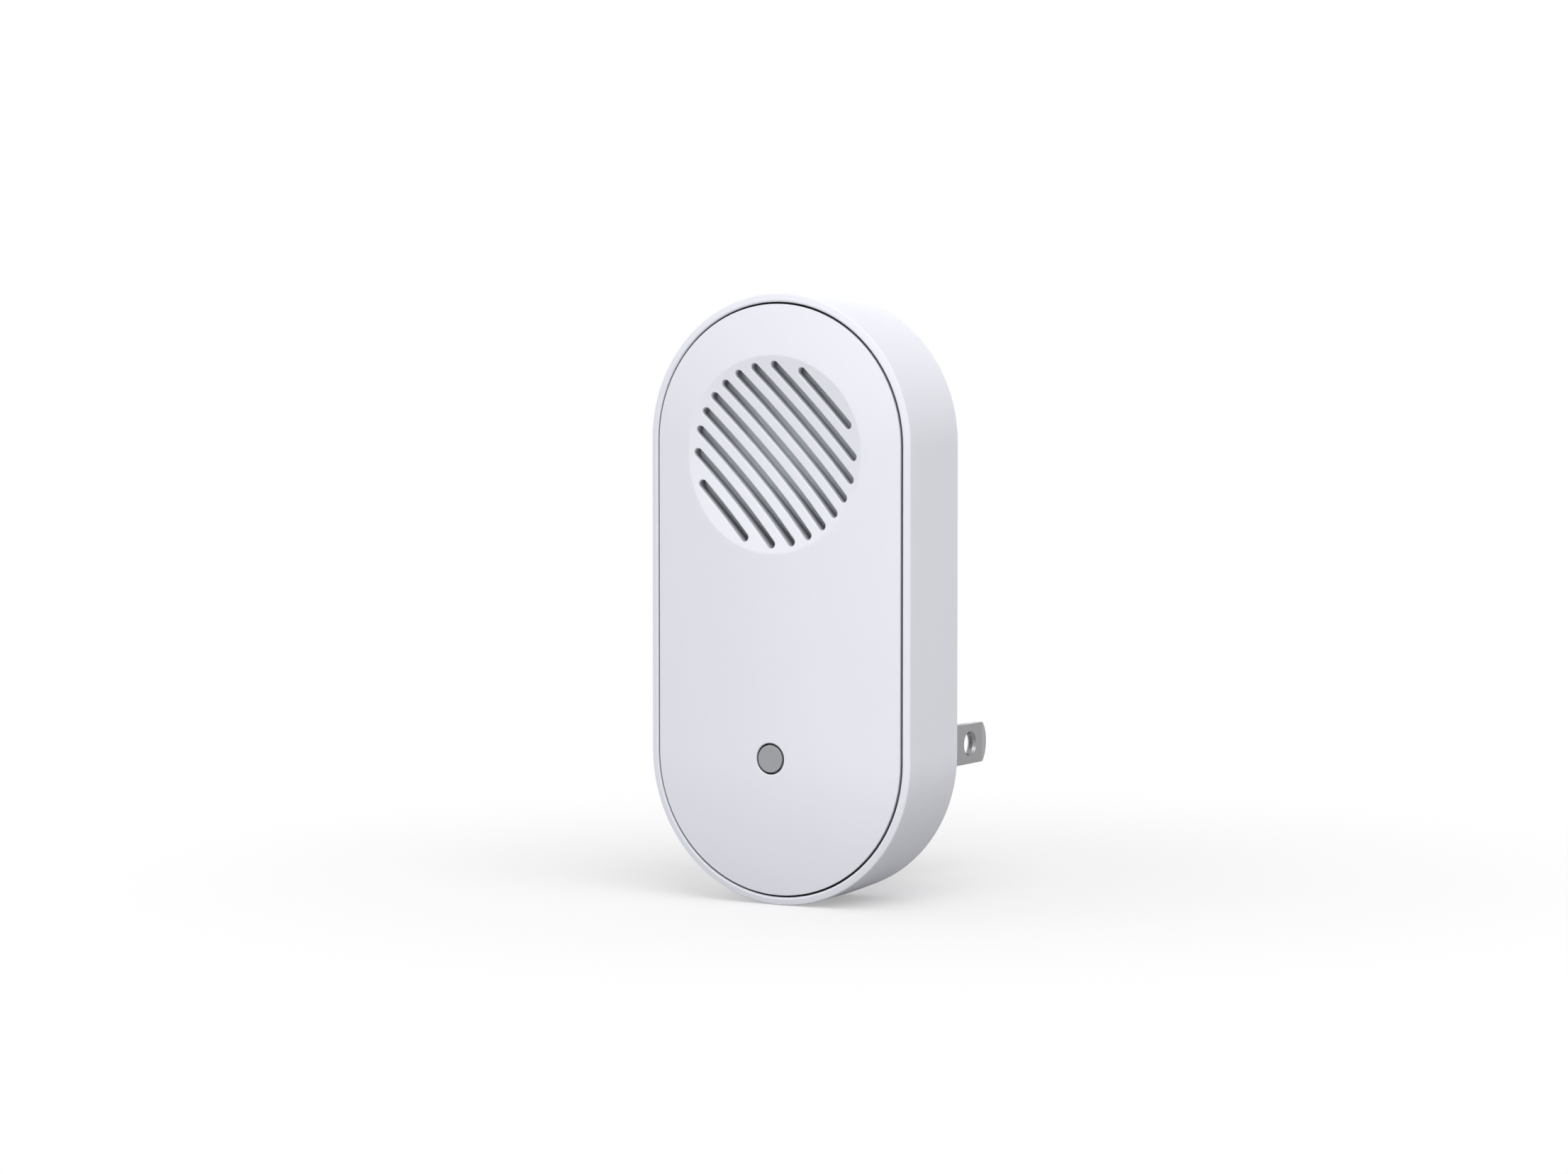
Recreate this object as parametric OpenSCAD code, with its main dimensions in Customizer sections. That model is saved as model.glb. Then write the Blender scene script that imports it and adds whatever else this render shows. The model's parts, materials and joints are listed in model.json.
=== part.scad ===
// Plug-in wireless doorbell chime. Millimetres, +Z up, +Y towards the wall.
// The origin is on the outlet face, midway between the two plug blades.

/* [Body] */
// Width of the body across its rim
body_w = 45.5; // [43:0.5:60]
// Height of the body
body_h = 93.4; // [92:0.5:120]
// Depth of the band, from the rim to the back of the body
band_depth = 17.3; // [17:0.1:26]
// How far each side of the band leans in, from the rim to the back
band_draft = 0.75; // [0.2:0.05:0.9]
// How far the rim's face falls back from the seam to its outer edge
rim_drop = 0.3; // [0:0.05:0.4]
// Radius of the rim's outer edge
rim_edge_r = 0.3; // [0.2:0.1:0.8]
// Radius of the band's back edge
back_edge_r = 1.2; // [0.5:0.1:1.6]
// Thickness of the band's side wall at the back
side_wall = 1.8; // [1.4:0.1:2.0]
// Thickness of the back wall
back_wall = 2; // [1.6:0.1:2.4]

/* [Front cover] */
// Width of the rim's front face, outside the seam
rim_w = 1.27; // [1:0.01:1.5]
// Gap all round between the cover and the rim
seam_gap = 0.3; // [0.15:0.05:0.45]
// Height of the cover's dome in front of the rim
dome_h = 2.6; // [2.2:0.1:3]
// Thickness of the cover
cover_wall = 1.9; // [1.6:0.1:2.1]
// Depth of the ledge that the cover's edge sits on, behind the rim
ledge_depth = 3; // [2.4:0.1:3.4]
// Thickness of the skirt that locates the cover inside the band
skirt_t = 1.2; // [1:0.1:1.4]
// Depth of the skirt's end, behind the rim
skirt_depth = 6.2; // [5.6:0.1:7]
// Clearance between the skirt and the band
skirt_gap = 0.2; // [0.1:0.05:0.3]
// Height of the snap beads on the skirt
snap_h = 0.35; // [0.25:0.05:0.5]

/* [Grille] */
// Radius of the dish in the cover
dish_r = 15.17; // [15:0.01:15.4]
// Depth of the dish below the dome at its centre
dish_depth = 2.4; // [2:0.1:2.6]
// How far the dish's centre lies below the centre of the body's upper arc
dish_drop = 1.65; // [0:0.05:2]
// Thickness of the grille at its centre
grille_wall = 1.1; // [0.9:0.05:1.4]
// Number of slots
slot_count = 10; // [6:1:10]
// How far the grille's back curves forwards at the speaker's edge
grille_rise = 1.4; // [0.8:0.05:1.5]
// Width of a slot
slot_w = 1.27; // [0.8:0.01:1.4]
// Distance between the centre lines of neighbouring slots
slot_pitch = 2.756; // [2:0.001:2.756]
// Radius of the circle that the slots' round ends are centred on
slot_field_r = 13.6; // [12.6:0.05:13.6]
// Lean of the slots
slot_angle = 45; // [0:5:90]

/* [Button] */
// Diameter of the button
button_d = 4.2; // [3.6:0.1:4.8]
// Gap round the button
button_gap = 0.3; // [0.2:0.05:0.4]
// Travel of the button
button_travel = 0.25; // [0.15:0.05:0.3]

/* [Plug block] */
// Depth of the plug block, from the back of the body to the outlet face
plug_depth = 19.1; // [19:0.1:24]
// Half-width of the plug block where it leaves the body
plug_base_hw = 13.6; // [13.5:0.1:14.4]
// Half-width of the plug block at the outlet face
plug_face_hw = 10.8; // [10.8:0.1:12]
// Height of the plug block's straight sides
plug_straight = 31; // [31:0.5:36]
// Radius of the outlet face's edge
plug_edge_r = 0.8; // [0.4:0.1:1]
// Thickness of the wall at the outlet face
outlet_wall = 2.2; // [1.8:0.1:2.6]
// Half-width of the pocket in the plug block
pocket_hw = 9.2; // [9.2:0.05:9.4]
// How far the blades' centre lies below the centre of the body's lower arc
plug_drop = 1.95; // [1.5:0.05:1.95]

/* [Plug blades] */
// Distance between the centres of the blades
blade_spacing = 12.7; // [12.7:0.01:12.7]
// Thickness of a blade
blade_t = 1.52; // [1.4:0.01:1.65]
// Height of a blade
blade_w = 6.35; // [6:0.01:6.4]
// Length of a blade in front of the outlet face
blade_len = 17.8; // [16:0.1:18.2]
// Bulge of the blade's rounded tip
blade_bulge = 1.8; // [0.8:0.1:2]
// Depth of the bevel on the faces of the tip
blade_bevel = 0.35; // [0.2:0.05:0.5]
// Diameter of the hole in a blade
blade_hole_d = 3.18; // [2.8:0.01:3.4]
// Diameter of the hole's countersunk mouths
blade_sink_d = 4.04; // [3.6:0.01:4.2]
// Distance of the hole from the outlet face
blade_hole_y = 11.8; // [11:0.1:12.4]
// Length of the blade's tail behind the outlet face
blade_tail = 11; // [10:0.5:12]

/* [Speaker] */
// Radius of the speaker
speaker_r = 15; // [15:0.05:15.2]
// Travel of the cone, each way
cone_travel = 0.4; // [0.2:0.05:0.45]
// Thickness of the mesh behind the grille
mesh_t = 0.25; // [0.15:0.05:0.35]
// Thickness of the foam gasket in front of the speaker
gasket_t = 1; // [0.9:0.05:1.1]

/* [Boards] */
// Thickness of the main board
board_t = 1.6; // [1.2:0.1:1.6]
// Gap between the main board and the back wall
board_gap = 3; // [2.8:0.1:3.2]
// Thickness of the power board
power_board_t = 1.2; // [1:0.1:1.4]
// Diameter of the pilot holes for the screws
pilot_d = 1.6; // [1.4:0.1:1.7]

/* [Hidden] */
$fn = 96;
eps = 0.01;
past = 1; // How far a cut runs past a face

// Depths, from the outlet face at 0 to the front of the dome
back_y = -plug_depth;
inner_back_y = back_y - back_wall;
rim_y = back_y - band_depth;
front_y = rim_y - dome_h;

// Half-widths of the body's parts
rim_hw = body_w / 2;
back_hw = rim_hw - band_draft;
cavity_hw = back_hw - side_wall;
recess_hw = rim_hw - rim_w;
cover_hw = recess_hw - seam_gap;
skirt_hw = cavity_hw - skirt_gap;
straight = (body_h - body_w) / 2;
dome_r = (cover_hw * cover_hw + dome_h * dome_h) / (2 * dome_h);
skirt_root = 1;

// Snap beads on the skirt, in grooves in the band
snap_z = [-16, 0, 16];
snap_len = 8;
snap_rise = 1.4;
snap_inset = 0.4;
snap_crest = [0.6, 0.4];
snap_play = 0.25;
snap_y = rim_y + skirt_depth - snap_inset - snap_rise;

// Heights
button_z = plug_drop;
body_z = button_z + straight;
dish_z = body_z + straight - dish_drop;

// The dish keeps a round edge on the dome, so its curve differs along x, below its centre and above it
dish_y = front_y + dish_depth;
dish_curve_x = 1 / (2 * (dish_depth / pow(dish_r, 2) - 1 / (2 * dome_r)));
dish_curve_down = pow(dish_r, 2) / (2 * dish_depth);
dish_top_rise = dish_depth - pow(dish_r - dish_drop, 2) / (2 * dome_r);
dish_curve_up = pow(dish_r, 2) / (2 * dish_top_rise);
grille_back_y = dish_y + grille_wall;
grille_curve = (speaker_r * speaker_r + grille_rise * grille_rise) / (2 * grille_rise);

// Speaker: depths run back from the front of its flange
speaker_y = grille_back_y + mesh_t + gasket_t;
flange_t = 0.8;
flange_in = 2.2;
flange_edge = 1.4;
gasket_in = 0.7;
collar_gap = 0.3;
collar_t = 1.2;
pad_inset = 0.15;
collar_r = speaker_r + collar_gap + collar_t;
clamp_depth = 2.6;
clamp_t = 1;
clamp_y = speaker_y + clamp_depth;
clamp_in = 1.2;
frame_in = speaker_r - flange_in;
frame_t = 0.55;
throat_r = 9.2;
throat_front = 4.4;
throat_back = 5.6;
throat_wall = 0.44;
vent = 4;
yoke_r = 7.7;
yoke_wall = 1;
yoke_front = 3.9;
yoke_back = 7.8;
yoke_floor = 0.8;
pole_r = 5.2;
plate_t = 1.05;
coil_in = 5.6;
coil_out = 6.05;
coil_front = 2.6;
coil_back = 5.9;
cone_inset = 4.15;
cone_r = speaker_r - cone_inset;
cone_t = 0.35;
cone_foot = 0.95;
roll_r = cone_r + 1;
roll_out = 0.95;
roll_t = 0.25;
roll_foot = 1.4;
cone_edge = 0.8;
cone_back = 3.2;
cone_inner = [2.75, 1.1];
cap_curve = 14;
cap_t = 0.3;
tab_w = 7;
tab_in = 8.6;
tab_out = 12.4;
tab_front = 3.6;
tab_t = 1;
terminal_t = 0.6;
terminal_w = 6;
terminal_inset = [0.6, 0.2];
// Each ear of the clamp: its angle from straight down, and its distance from the speaker's centre
clamp_ears = [[180, speaker_r + 2.9], [45, speaker_r + 3.4], [-45, speaker_r + 3.4]];
ear_r = 2;
ear_root = 3.2;
boss_inset = 0.4;

// Screws: shank radius, head radius, head height
screw_r = pilot_d / 2;
screw_head_r = 1.8;
screw_head_h = 1.2;
drive_w = 0.4;
drive_depth = 0.6;
screw_hole_r = screw_r + 0.3;
screw_len = 4.5;

// Main board
board_margin = 1.6;
board_hw = cavity_hw - board_margin;
board_straight = straight - 1.95;
board_back_y = inner_back_y - board_gap;
board_y = board_back_y - board_t;
post_r = 2.3;
post_inset = 2.8;
post_x = board_hw - post_inset;
post_z = [button_z + 3.95, body_z + 12];

// Tact switch, measured forwards from the main board
switch_w = 6;
switch_h = 3.5;
switch_plate_t = 0.3;
switch_cavity_r = 2.4;
switch_cavity = 1.7;
plunger_r = 1.7;
plunger_foot_r = 2.1;
plunger_foot_t = 0.8;
plunger_top = 6.8;
plunger_bottom = 2.6;
plunger_hole_r = plunger_r + 0.15;
dome_rise = 0.7;
dome_rim_r = 2.2;
dome_t = 0.12;
touch_gap = 0.05;

// Button, with the cover's hole and guide
button_r = button_d / 2;
button_hole_r = button_r + button_gap;
flange_r = button_r + 0.9;
flange_front_y = front_y + cover_wall + 0.1;
button_flange_t = 0.85;
stem_r = 1.5;
guide_in = flange_r + 0.3;
guide_t = 1;
guide_root = 0.5;
guide_end_y = flange_front_y + 3.1;

// Plug block
pocket_z = button_z + plug_straight / 2;
mouth_hw = pocket_hw + 0.7;
power_board_hw = mouth_hw - 0.2;
shelf_y = inner_back_y + 2.7;
power_board_y = shelf_y - power_board_t;
sheet_t = 0.3;
sheet_margin = 0.3;
barrier_hw = plug_base_hw - 0.4;
barrier_t = 1.2;
barrier_y = inner_back_y - barrier_t;
barrier_screw_inset = 2;
barrier_screw_x = plug_base_hw - barrier_screw_inset;
barrier_screw_z = [-12, 12];
slot_play = 0.1;
carrier_t = 4.5;
carrier_z = [-4.6, 5];
carrier_hw = pocket_hw - 0.1;
contact_t = 0.4;
contact_w = 3;
contact_end_y = -7;
header_play = 0.3;

// Parts on the main board, as [x, z] of their centres
module_at = [-10.6, 19];
module_size = [14, 19, 0.8];
shield_size = [12, 12.5, 1.8];
shield_t = 0.2;
shield_edge = 2.45;
antenna_size = [7, 2, 1.2];
antenna_edge = 2.2;
processor_at = [8.8, 22];
processor_size = [8, 8, 0.9];
flash_at = [8.5, 13];
flash_size = [5.2, 5.2, 1.5];
amplifier_at = [8.4, 30];
amplifier_size = [4, 4, 0.8];
crystal_at = [14.8, 14.5];
crystal_size = [2.5, 3.2, 0.7];
inductor_at = [14.5, 30.2];
inductor_size = [5, 5, 2.5];
board_cap_at = [11, -1.5];
board_cap_r = 3.15;
board_cap_h = 5.4;
chip_lift = 0.1;
chip_lead = [0.6, 0.3, 0.3];
chip_margin = 0.4;
chip_size = [0.6, 1, 0.5];
chip_step = 2;
// Rows of small parts: x and z of the first, and how many
chip_rows = [[3, 6.2, 6], [-11, 6.2, 5], [-14, 33.4, 4]];
chip_column_z = 18.5;
led_at = [5, button_z];
led_size = [1.6, 2.8, 0.8];
connector_size = [6, 5, 3.4];
connector_z = dish_z - speaker_r - 6.2;
plug_size = [5, 3.6, 2.4];
plug_seat = 1.6;
plug_play = 0.05;
plug_z = connector_z + connector_size.y / 2 - plug_seat;
lead_r = 0.45;
lead_x = 1;
header_z = 8.1;
header_size = [7.6, 2.5];
pin_pitch = 2.54;
pin_w = 0.64;
pin_hole_r = 0.5;
pin_end = 1;

// Parts on the power board, as [x, z] of their centres
core_z = 28.2;
core_size = [12.8, 12.6, 10];
core_leg = 3;
core_lift = 1;
winding_gap = 0.15;
bobbin_inset = 0.4;
input_cap_at = [-4.7, 15.2];
input_cap_r = 4;
input_cap_h = 12;
choke_at = [4.7, 15.2];
choke_r = 3.5;
choke_h = 9;
choke_flange = 1.2;
choke_groove = 0.5;
output_cap_z = 38.5;
output_cap_r = 3.15;
output_cap_h = 11;
bridge_z = 2.2;
bridge_size = [6, 5, 2.6];
fuse_z = 7.8;
fuse_r = 1.5;
fuse_len = 7;
fuse_lift = 2;
controller_z = -3.2;
controller_size = [5, 3.9, 1.5];

// Rating label, left blank
label_z = body_z + straight + 9;
label_size = [22, 8];
label_t = 0.15;
label_recess = 0.2;
label_margin = 0.3;

// Colours
white = [0.91, 0.92, 0.95];
grey = [0.63, 0.63, 0.65];
black = [0.12, 0.12, 0.13];
board_green = [0.05, 0.32, 0.2];
steel = [0.75, 0.75, 0.76];
copper = [0.72, 0.45, 0.2];

function dome_at(x) = front_y + dome_r - sqrt(dome_r * dome_r - x * x);

// ---- Shapes that repeat ----

// Sweeps a profile, drawn as distance from the centre line and depth, round a pill outline
module pill_sweep(half_len) {
    linear_extrude(2 * half_len, center = true)
        for (side = [0, 1]) mirror([side, 0]) children();
    for (end = [0, 1]) mirror([0, 0, end]) translate([0, 0, -half_len])
        rotate([-90, 0, 0]) rotate_extrude(angle = 180) children();
}

// A pill-shaped slab between two depths
module pill_slab(hw, half_len, y0, y1) {
    pill_sweep(half_len) translate([0, y0]) square([hw, y1 - y0]);
}

// A convex outline, given anticlockwise, with each corner rounded to its radius
module rounded_outline(points, radii) {
    count = len(points);
    function outward(i) =
        let (edge = points[(i + 1) % count] - points[i % count]) [edge.y, -edge.x] / norm(edge);
    function centre(i) = let (before = outward(i + count - 1), after = outward(i))
        points[i] - radii[i] * (before + after) / (1 + before * after);
    polygon([for (i = [0 : count - 1])
        each radii[i] > 0
            ? [centre(i) + radii[i] * outward(i + count - 1), centre(i) + radii[i] * outward(i)]
            : [points[i]]]);
    for (i = [0 : count - 1]) if (radii[i] > 0) translate(centre(i)) circle(radii[i]);
}

// Puts children on a point of the front, with their +Z running back along +Y and their +Y pointing down
module facing_back(x, y, z) {
    translate([x, y, z]) rotate([-90, 0, 0]) children();
}

// Puts children on a point, with their +Z running forwards along -Y and their +Y pointing up
module facing_front(x, y, z) {
    translate([x, y, z]) rotate([90, 0, 0]) children();
}

// A block standing on a plane at depth y and rising forwards
module block_front(at, y, size) {
    translate([at[0] - size.x / 2, y - size.z, at[1] - size.y / 2]) cube([size.x, size.z, size.y]);
}

// A block standing on a plane at depth y and rising backwards
module block_back(at, y, size) {
    translate([at[0] - size.x / 2, y, at[1] - size.y / 2]) cube([size.x, size.z, size.y]);
}

// A ring round the local Z axis
module ring(r_out, r_in, z0, z1) {
    rotate_extrude() translate([r_in, z0]) square([r_out - r_in, z1 - z0]);
}

// A pan-head screw with its head's seat at 0 and its shank along +Z
module screw(len) {
    drive_len = 1.2 * screw_head_r;
    translate([0, 0, -screw_head_h]) difference() {
        cylinder(r = screw_head_r, h = screw_head_h);
        for (turn = [0, 90]) rotate(turn)
            translate([-drive_len / 2, -drive_w / 2, -eps]) cube([drive_len, drive_w, drive_depth]);
    }
    cylinder(r = screw_r, h = len);
}

// An aluminium can with a crimped neck near its base, standing on 0 and rising along +Z
module can(r, h) {
    neck_z = 1.8;
    neck_r = 0.8;
    rotate_extrude() difference() {
        square([r, h]);
        translate([r + neck_r / 2, neck_z]) circle(neck_r);
    }
}

// A resistor-like body along X with its leads bent down to the board at 0
module axial_part(r, len, lift) {
    wire_r = 0.3;
    wire_out = 0.8;
    translate([-len / 2, 0, lift]) rotate([0, 90, 0]) cylinder(r = r, h = len);
    for (side = [0, 1]) mirror([side, 0, 0]) {
        translate([len / 2, 0, lift]) rotate([0, 90, 0]) cylinder(r = wire_r, h = wire_out + wire_r);
        translate([len / 2 + wire_out, 0, 0]) cylinder(r = wire_r, h = lift);
    }
}

// ---- Shell ----

module dome_profile() {
    intersection() {
        translate([0, front_y + dome_r]) circle(dome_r, $fn = 720);
        translate([0, front_y]) square([cover_hw, rim_y + ledge_depth - front_y]);
    }
    translate([skirt_hw - skirt_t, rim_y + skirt_root]) square([skirt_t, skirt_depth - skirt_root]);
}

module dome_inside() {
    intersection() {
        translate([0, front_y + dome_r]) circle(dome_r - cover_wall, $fn = 720);
        translate([0, front_y]) square([skirt_hw - skirt_t, band_depth]);
    }
}

// Cuts one half of the dish, the half above its centre
module dish_half(curve) {
    reach = 2 * dish_r;
    margin = 2;
    translate([0, dish_y - curve, dish_z]) rotate([90, 0, 90]) rotate_extrude(angle = 40, $fn = 720)
        intersection() {
            translate([curve - dish_curve_x, 0]) circle(dish_curve_x);
            translate([curve - reach, -dish_r - margin]) square([reach + margin, 2 * (dish_r + margin)]);
        }
}

module dish_cut() {
    dish_half(dish_curve_up);
    translate([0, 0, 2 * dish_z]) mirror([0, 0, 1]) dish_half(dish_curve_down);
}

module grille_slots() {
    for (k = [0 : slot_count - 1]) {
        off = (k - (slot_count - 1) / 2) * slot_pitch;
        half = sqrt(slot_field_r * slot_field_r - off * off);
        translate([0, grille_back_y + past, dish_z]) rotate([0, slot_angle, 0]) translate([0, 0, off])
            rotate([90, 0, 0]) linear_extrude(grille_back_y - front_y + 2 * past) {
                square([2 * half, slot_w], center = true);
                for (side = [-1, 1]) translate([side * half, 0]) circle(slot_w / 2);
            }
    }
}

// The space behind the curved back of the grille, out to a radius: its top is at 0
module grille_bowl(curve, reach) {
    rotate_extrude() difference() {
        translate([0, -dish_depth]) square([reach, dish_depth + eps]);
        translate([0, -curve]) circle(curve, $fn = 720);
    }
}

module at_ears() {
    for (ear = clamp_ears) rotate(90 - ear[0]) translate([ear[1], 0, 0]) children();
}

module front_cover() color(white) difference() {
    union() {
        difference() {
            translate([0, 0, body_z]) pill_sweep(straight) dome_profile();
            translate([0, 0, body_z]) pill_sweep(straight) dome_inside();
        }
        // Pad behind the dish, the speaker's collar and the clamp's screw bosses
        pad_y = dome_at(collar_r) + pad_inset;
        facing_back(0, pad_y, dish_z) {
            cylinder(r = collar_r, h = grille_back_y - pad_y);
            ring(collar_r, speaker_r + collar_gap, 0, clamp_y - pad_y);
            difference() {
                at_ears() translate([0, 0, boss_inset]) cylinder(r = ear_r, h = clamp_y - pad_y - boss_inset);
                translate([0, 0, grille_back_y - pad_y]) cylinder(r = speaker_r + collar_gap, h = band_depth);
            }
        }
        // Guide for the button
        facing_back(0, flange_front_y - guide_root, button_z)
            ring(guide_in + guide_t, guide_in, 0, guide_end_y - flange_front_y + guide_root);
        // Snap beads on the skirt
        for (z = snap_z, side = [0, 1]) mirror([side, 0, 0])
            translate([skirt_hw - eps, snap_y, body_z + z - snap_len / 2]) linear_extrude(snap_len)
                polygon([[0, snap_rise], [0, 0], [snap_h, snap_crest[1]], [snap_h, snap_crest[0]]]);
    }
    dish_cut();
    facing_back(0, grille_back_y, dish_z) grille_bowl(grille_curve, speaker_r - gasket_in);
    grille_slots();
    facing_back(0, front_y - past, button_z) cylinder(r = button_hole_r, h = cover_wall + 2 * past);
    facing_back(0, clamp_y - screw_len + clamp_t, dish_z) at_ears() cylinder(r = screw_r, h = screw_len);
}

module rear_housing() color(white) difference() {
    union() {
        difference() {
            translate([0, 0, body_z]) pill_sweep(straight) rounded_outline([
                [0, rim_y], [recess_hw, rim_y], [rim_hw, rim_y + rim_drop], [back_hw, back_y], [0, back_y],
            ], [0, 0, rim_edge_r, back_edge_r, 0]);
            translate([0, 0, body_z]) pill_slab(cavity_hw, straight, rim_y + eps, inner_back_y);
            translate([0, 0, body_z]) pill_slab(recess_hw, straight, rim_y - past, rim_y + ledge_depth);
        }
        translate([0, 0, pocket_z]) pill_sweep(plug_straight / 2) rounded_outline([
            [0, back_y - back_wall / 2], [plug_base_hw, back_y - back_wall / 2], [plug_face_hw, 0], [0, 0],
        ], [0, 0, plug_edge_r, 0]);
        // Posts for the main board
        for (z = post_z, side = [-1, 1])
            facing_back(side * post_x, board_back_y, z) cylinder(r = post_r, h = board_gap + eps);
    }
    // Pocket for the power supply, with a shelf for its board
    translate([0, 0, pocket_z]) pill_slab(mouth_hw, plug_straight / 2, inner_back_y - past, shelf_y);
    translate([0, 0, pocket_z]) pill_slab(pocket_hw, plug_straight / 2, shelf_y - past, -outlet_wall);
    // Slots for the blades
    for (side = [-1, 1]) translate([side * blade_spacing / 2, 0, 0])
        cube([blade_t + 2 * slot_play, 2 * (outlet_wall + past), blade_w + 2 * slot_play], center = true);
    // Pilot holes for the board and barrier screws
    for (z = post_z, side = [-1, 1])
        facing_back(side * post_x, board_back_y - past, z) cylinder(r = screw_r, h = board_gap + 2 * past);
    for (z = barrier_screw_z, side = [-1, 1])
        facing_back(side * barrier_screw_x, inner_back_y - past, pocket_z + z)
            cylinder(r = screw_r, h = screw_len + past);
    // Grooves for the snap beads
    for (z = snap_z, side = [0, 1]) mirror([side, 0, 0])
        translate([cavity_hw - past, snap_y - snap_play, body_z + z - snap_len / 2 - snap_play])
            cube([past + snap_h - skirt_gap + snap_play, snap_rise + 2 * snap_play, snap_len + 2 * snap_play]);
    // Recess for the rating label
    block_back([0, label_z], back_y - label_recess,
        [label_size.x + 2 * label_margin, label_size.y + 2 * label_margin, label_recess + past]);
}

module rating_label() color([0.82, 0.83, 0.85])
    block_back([0, label_z], back_y - label_recess, [label_size.x, label_size.y, label_t]);

// ---- Speaker ----

module at_speaker() { facing_back(0, speaker_y, dish_z) children(); }

module speaker_mesh() color([0.56, 0.6, 0.65])
    at_speaker() translate([0, 0, -gasket_t - mesh_t]) cylinder(r = speaker_r, h = mesh_t);

module speaker_gasket() color(black)
    at_speaker() ring(speaker_r, speaker_r - gasket_in, -gasket_t, 0);

module speaker_frame() color([0.2, 0.2, 0.21]) at_speaker() {
    shoulder = throat_front - frame_t + 0.01;
    yoke_seat = yoke_r + 0.05;
    difference() {
        rotate_extrude() polygon([
            [frame_in, 0], [speaker_r, 0], [speaker_r, flange_t], [speaker_r - flange_edge, flange_t],
            [throat_r, throat_front], [throat_r, throat_back], [yoke_seat, throat_back],
            [yoke_seat, shoulder], [throat_r - throat_wall, shoulder], [frame_in, frame_t],
        ]);
        // Vents through the basket
        for (turn = [30 : 60 : 330]) rotate(turn) translate([throat_r + 0.6, -vent / 2, flange_t + 0.4])
            cube([vent, vent, vent / 2]);
    }
    // Tab that carries the terminal
    difference() {
        translate([-tab_w / 2, tab_in, tab_front]) cube([tab_w, tab_out - tab_in, tab_t]);
        cylinder(r = throat_r - throat_wall - eps, h = throat_back);
    }
}

module speaker_surround() color([0.1, 0.1, 0.11]) at_speaker() rotate_extrude() {
    difference() {
        translate([roll_r, -roll_t]) circle(roll_out);
        translate([roll_r, -roll_t]) circle(roll_out - roll_t);
        translate([roll_r - 2 * roll_out, -roll_t - 2 * roll_out]) square([4 * roll_out, 2 * roll_out]);
    }
    translate([cone_r - cone_foot, -roll_t])
        square([roll_r - roll_out + roll_t - cone_r + cone_foot, roll_t]);
    translate([roll_r + roll_out - roll_t, -roll_t]) square([roll_foot, roll_t]);
}

module speaker_cone() color([0.16, 0.16, 0.17]) at_speaker() rotate_extrude() polygon([
    [cone_r, 0], [cone_r, cone_t], [cone_r - cone_edge, cone_t], [coil_out + cone_t, cone_back],
    [coil_out, cone_back], [coil_out, cone_inner[0]], [cone_r - cone_inner[1], 0],
]);

module dust_cap() color([0.14, 0.14, 0.15]) at_speaker() rotate_extrude() intersection() {
    cap_top = coil_front - cap_curve + sqrt(pow(cap_curve, 2) - pow(coil_out - 0.06, 2));
    difference() {
        translate([0, cap_top + cap_curve]) circle(cap_curve, $fn = 360);
        translate([0, cap_top + cap_curve]) circle(cap_curve - cap_t, $fn = 360);
    }
    square([coil_out, coil_front]);
}

module voice_coil() color(copper) at_speaker() ring(coil_out, coil_in, coil_front, coil_back);

module top_plate() color(steel)
    at_speaker() translate([0, 0, yoke_front]) cylinder(r = pole_r, h = plate_t);

module speaker_magnet() color([0.35, 0.35, 0.37]) at_speaker() translate([0, 0, yoke_front + plate_t])
    cylinder(r = pole_r - 0.1, h = yoke_back - yoke_floor - yoke_front - plate_t);

module magnet_yoke() color(steel) at_speaker() difference() {
    translate([0, 0, yoke_front]) cylinder(r = yoke_r, h = yoke_back - yoke_front);
    translate([0, 0, yoke_front - past])
        cylinder(r = yoke_r - yoke_wall, h = yoke_back - yoke_floor - yoke_front + past);
}

module speaker_terminal() color([0.45, 0.36, 0.14]) at_speaker()
    translate([-terminal_w / 2, tab_in + terminal_inset[0], tab_front + tab_t])
        cube([terminal_w, tab_out - tab_in - terminal_inset[0] - terminal_inset[1], terminal_t]);

module speaker_clamp() color([0.24, 0.24, 0.26]) at_speaker() difference() {
    clamp_hole_r = speaker_r - clamp_in;
    union() {
        ring(speaker_r, clamp_hole_r, flange_t, clamp_depth + clamp_t);
        ring(collar_r, clamp_hole_r, clamp_depth, clamp_depth + clamp_t);
        translate([0, 0, clamp_depth]) difference() {
            linear_extrude(clamp_t) at_ears() {
                circle(ear_r);
                translate([-ear_root, -ear_r]) square([ear_root, 2 * ear_r]);
            }
            translate([0, 0, -past]) cylinder(r = clamp_hole_r + eps, h = clamp_t + 2 * past);
        }
    }
    at_ears() cylinder(r = screw_hole_r, h = band_depth);
}

module clamp_screws() color(steel) at_speaker() at_ears()
    translate([0, 0, clamp_depth + clamp_t]) rotate([180, 0, 0]) screw(screw_len);

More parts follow.
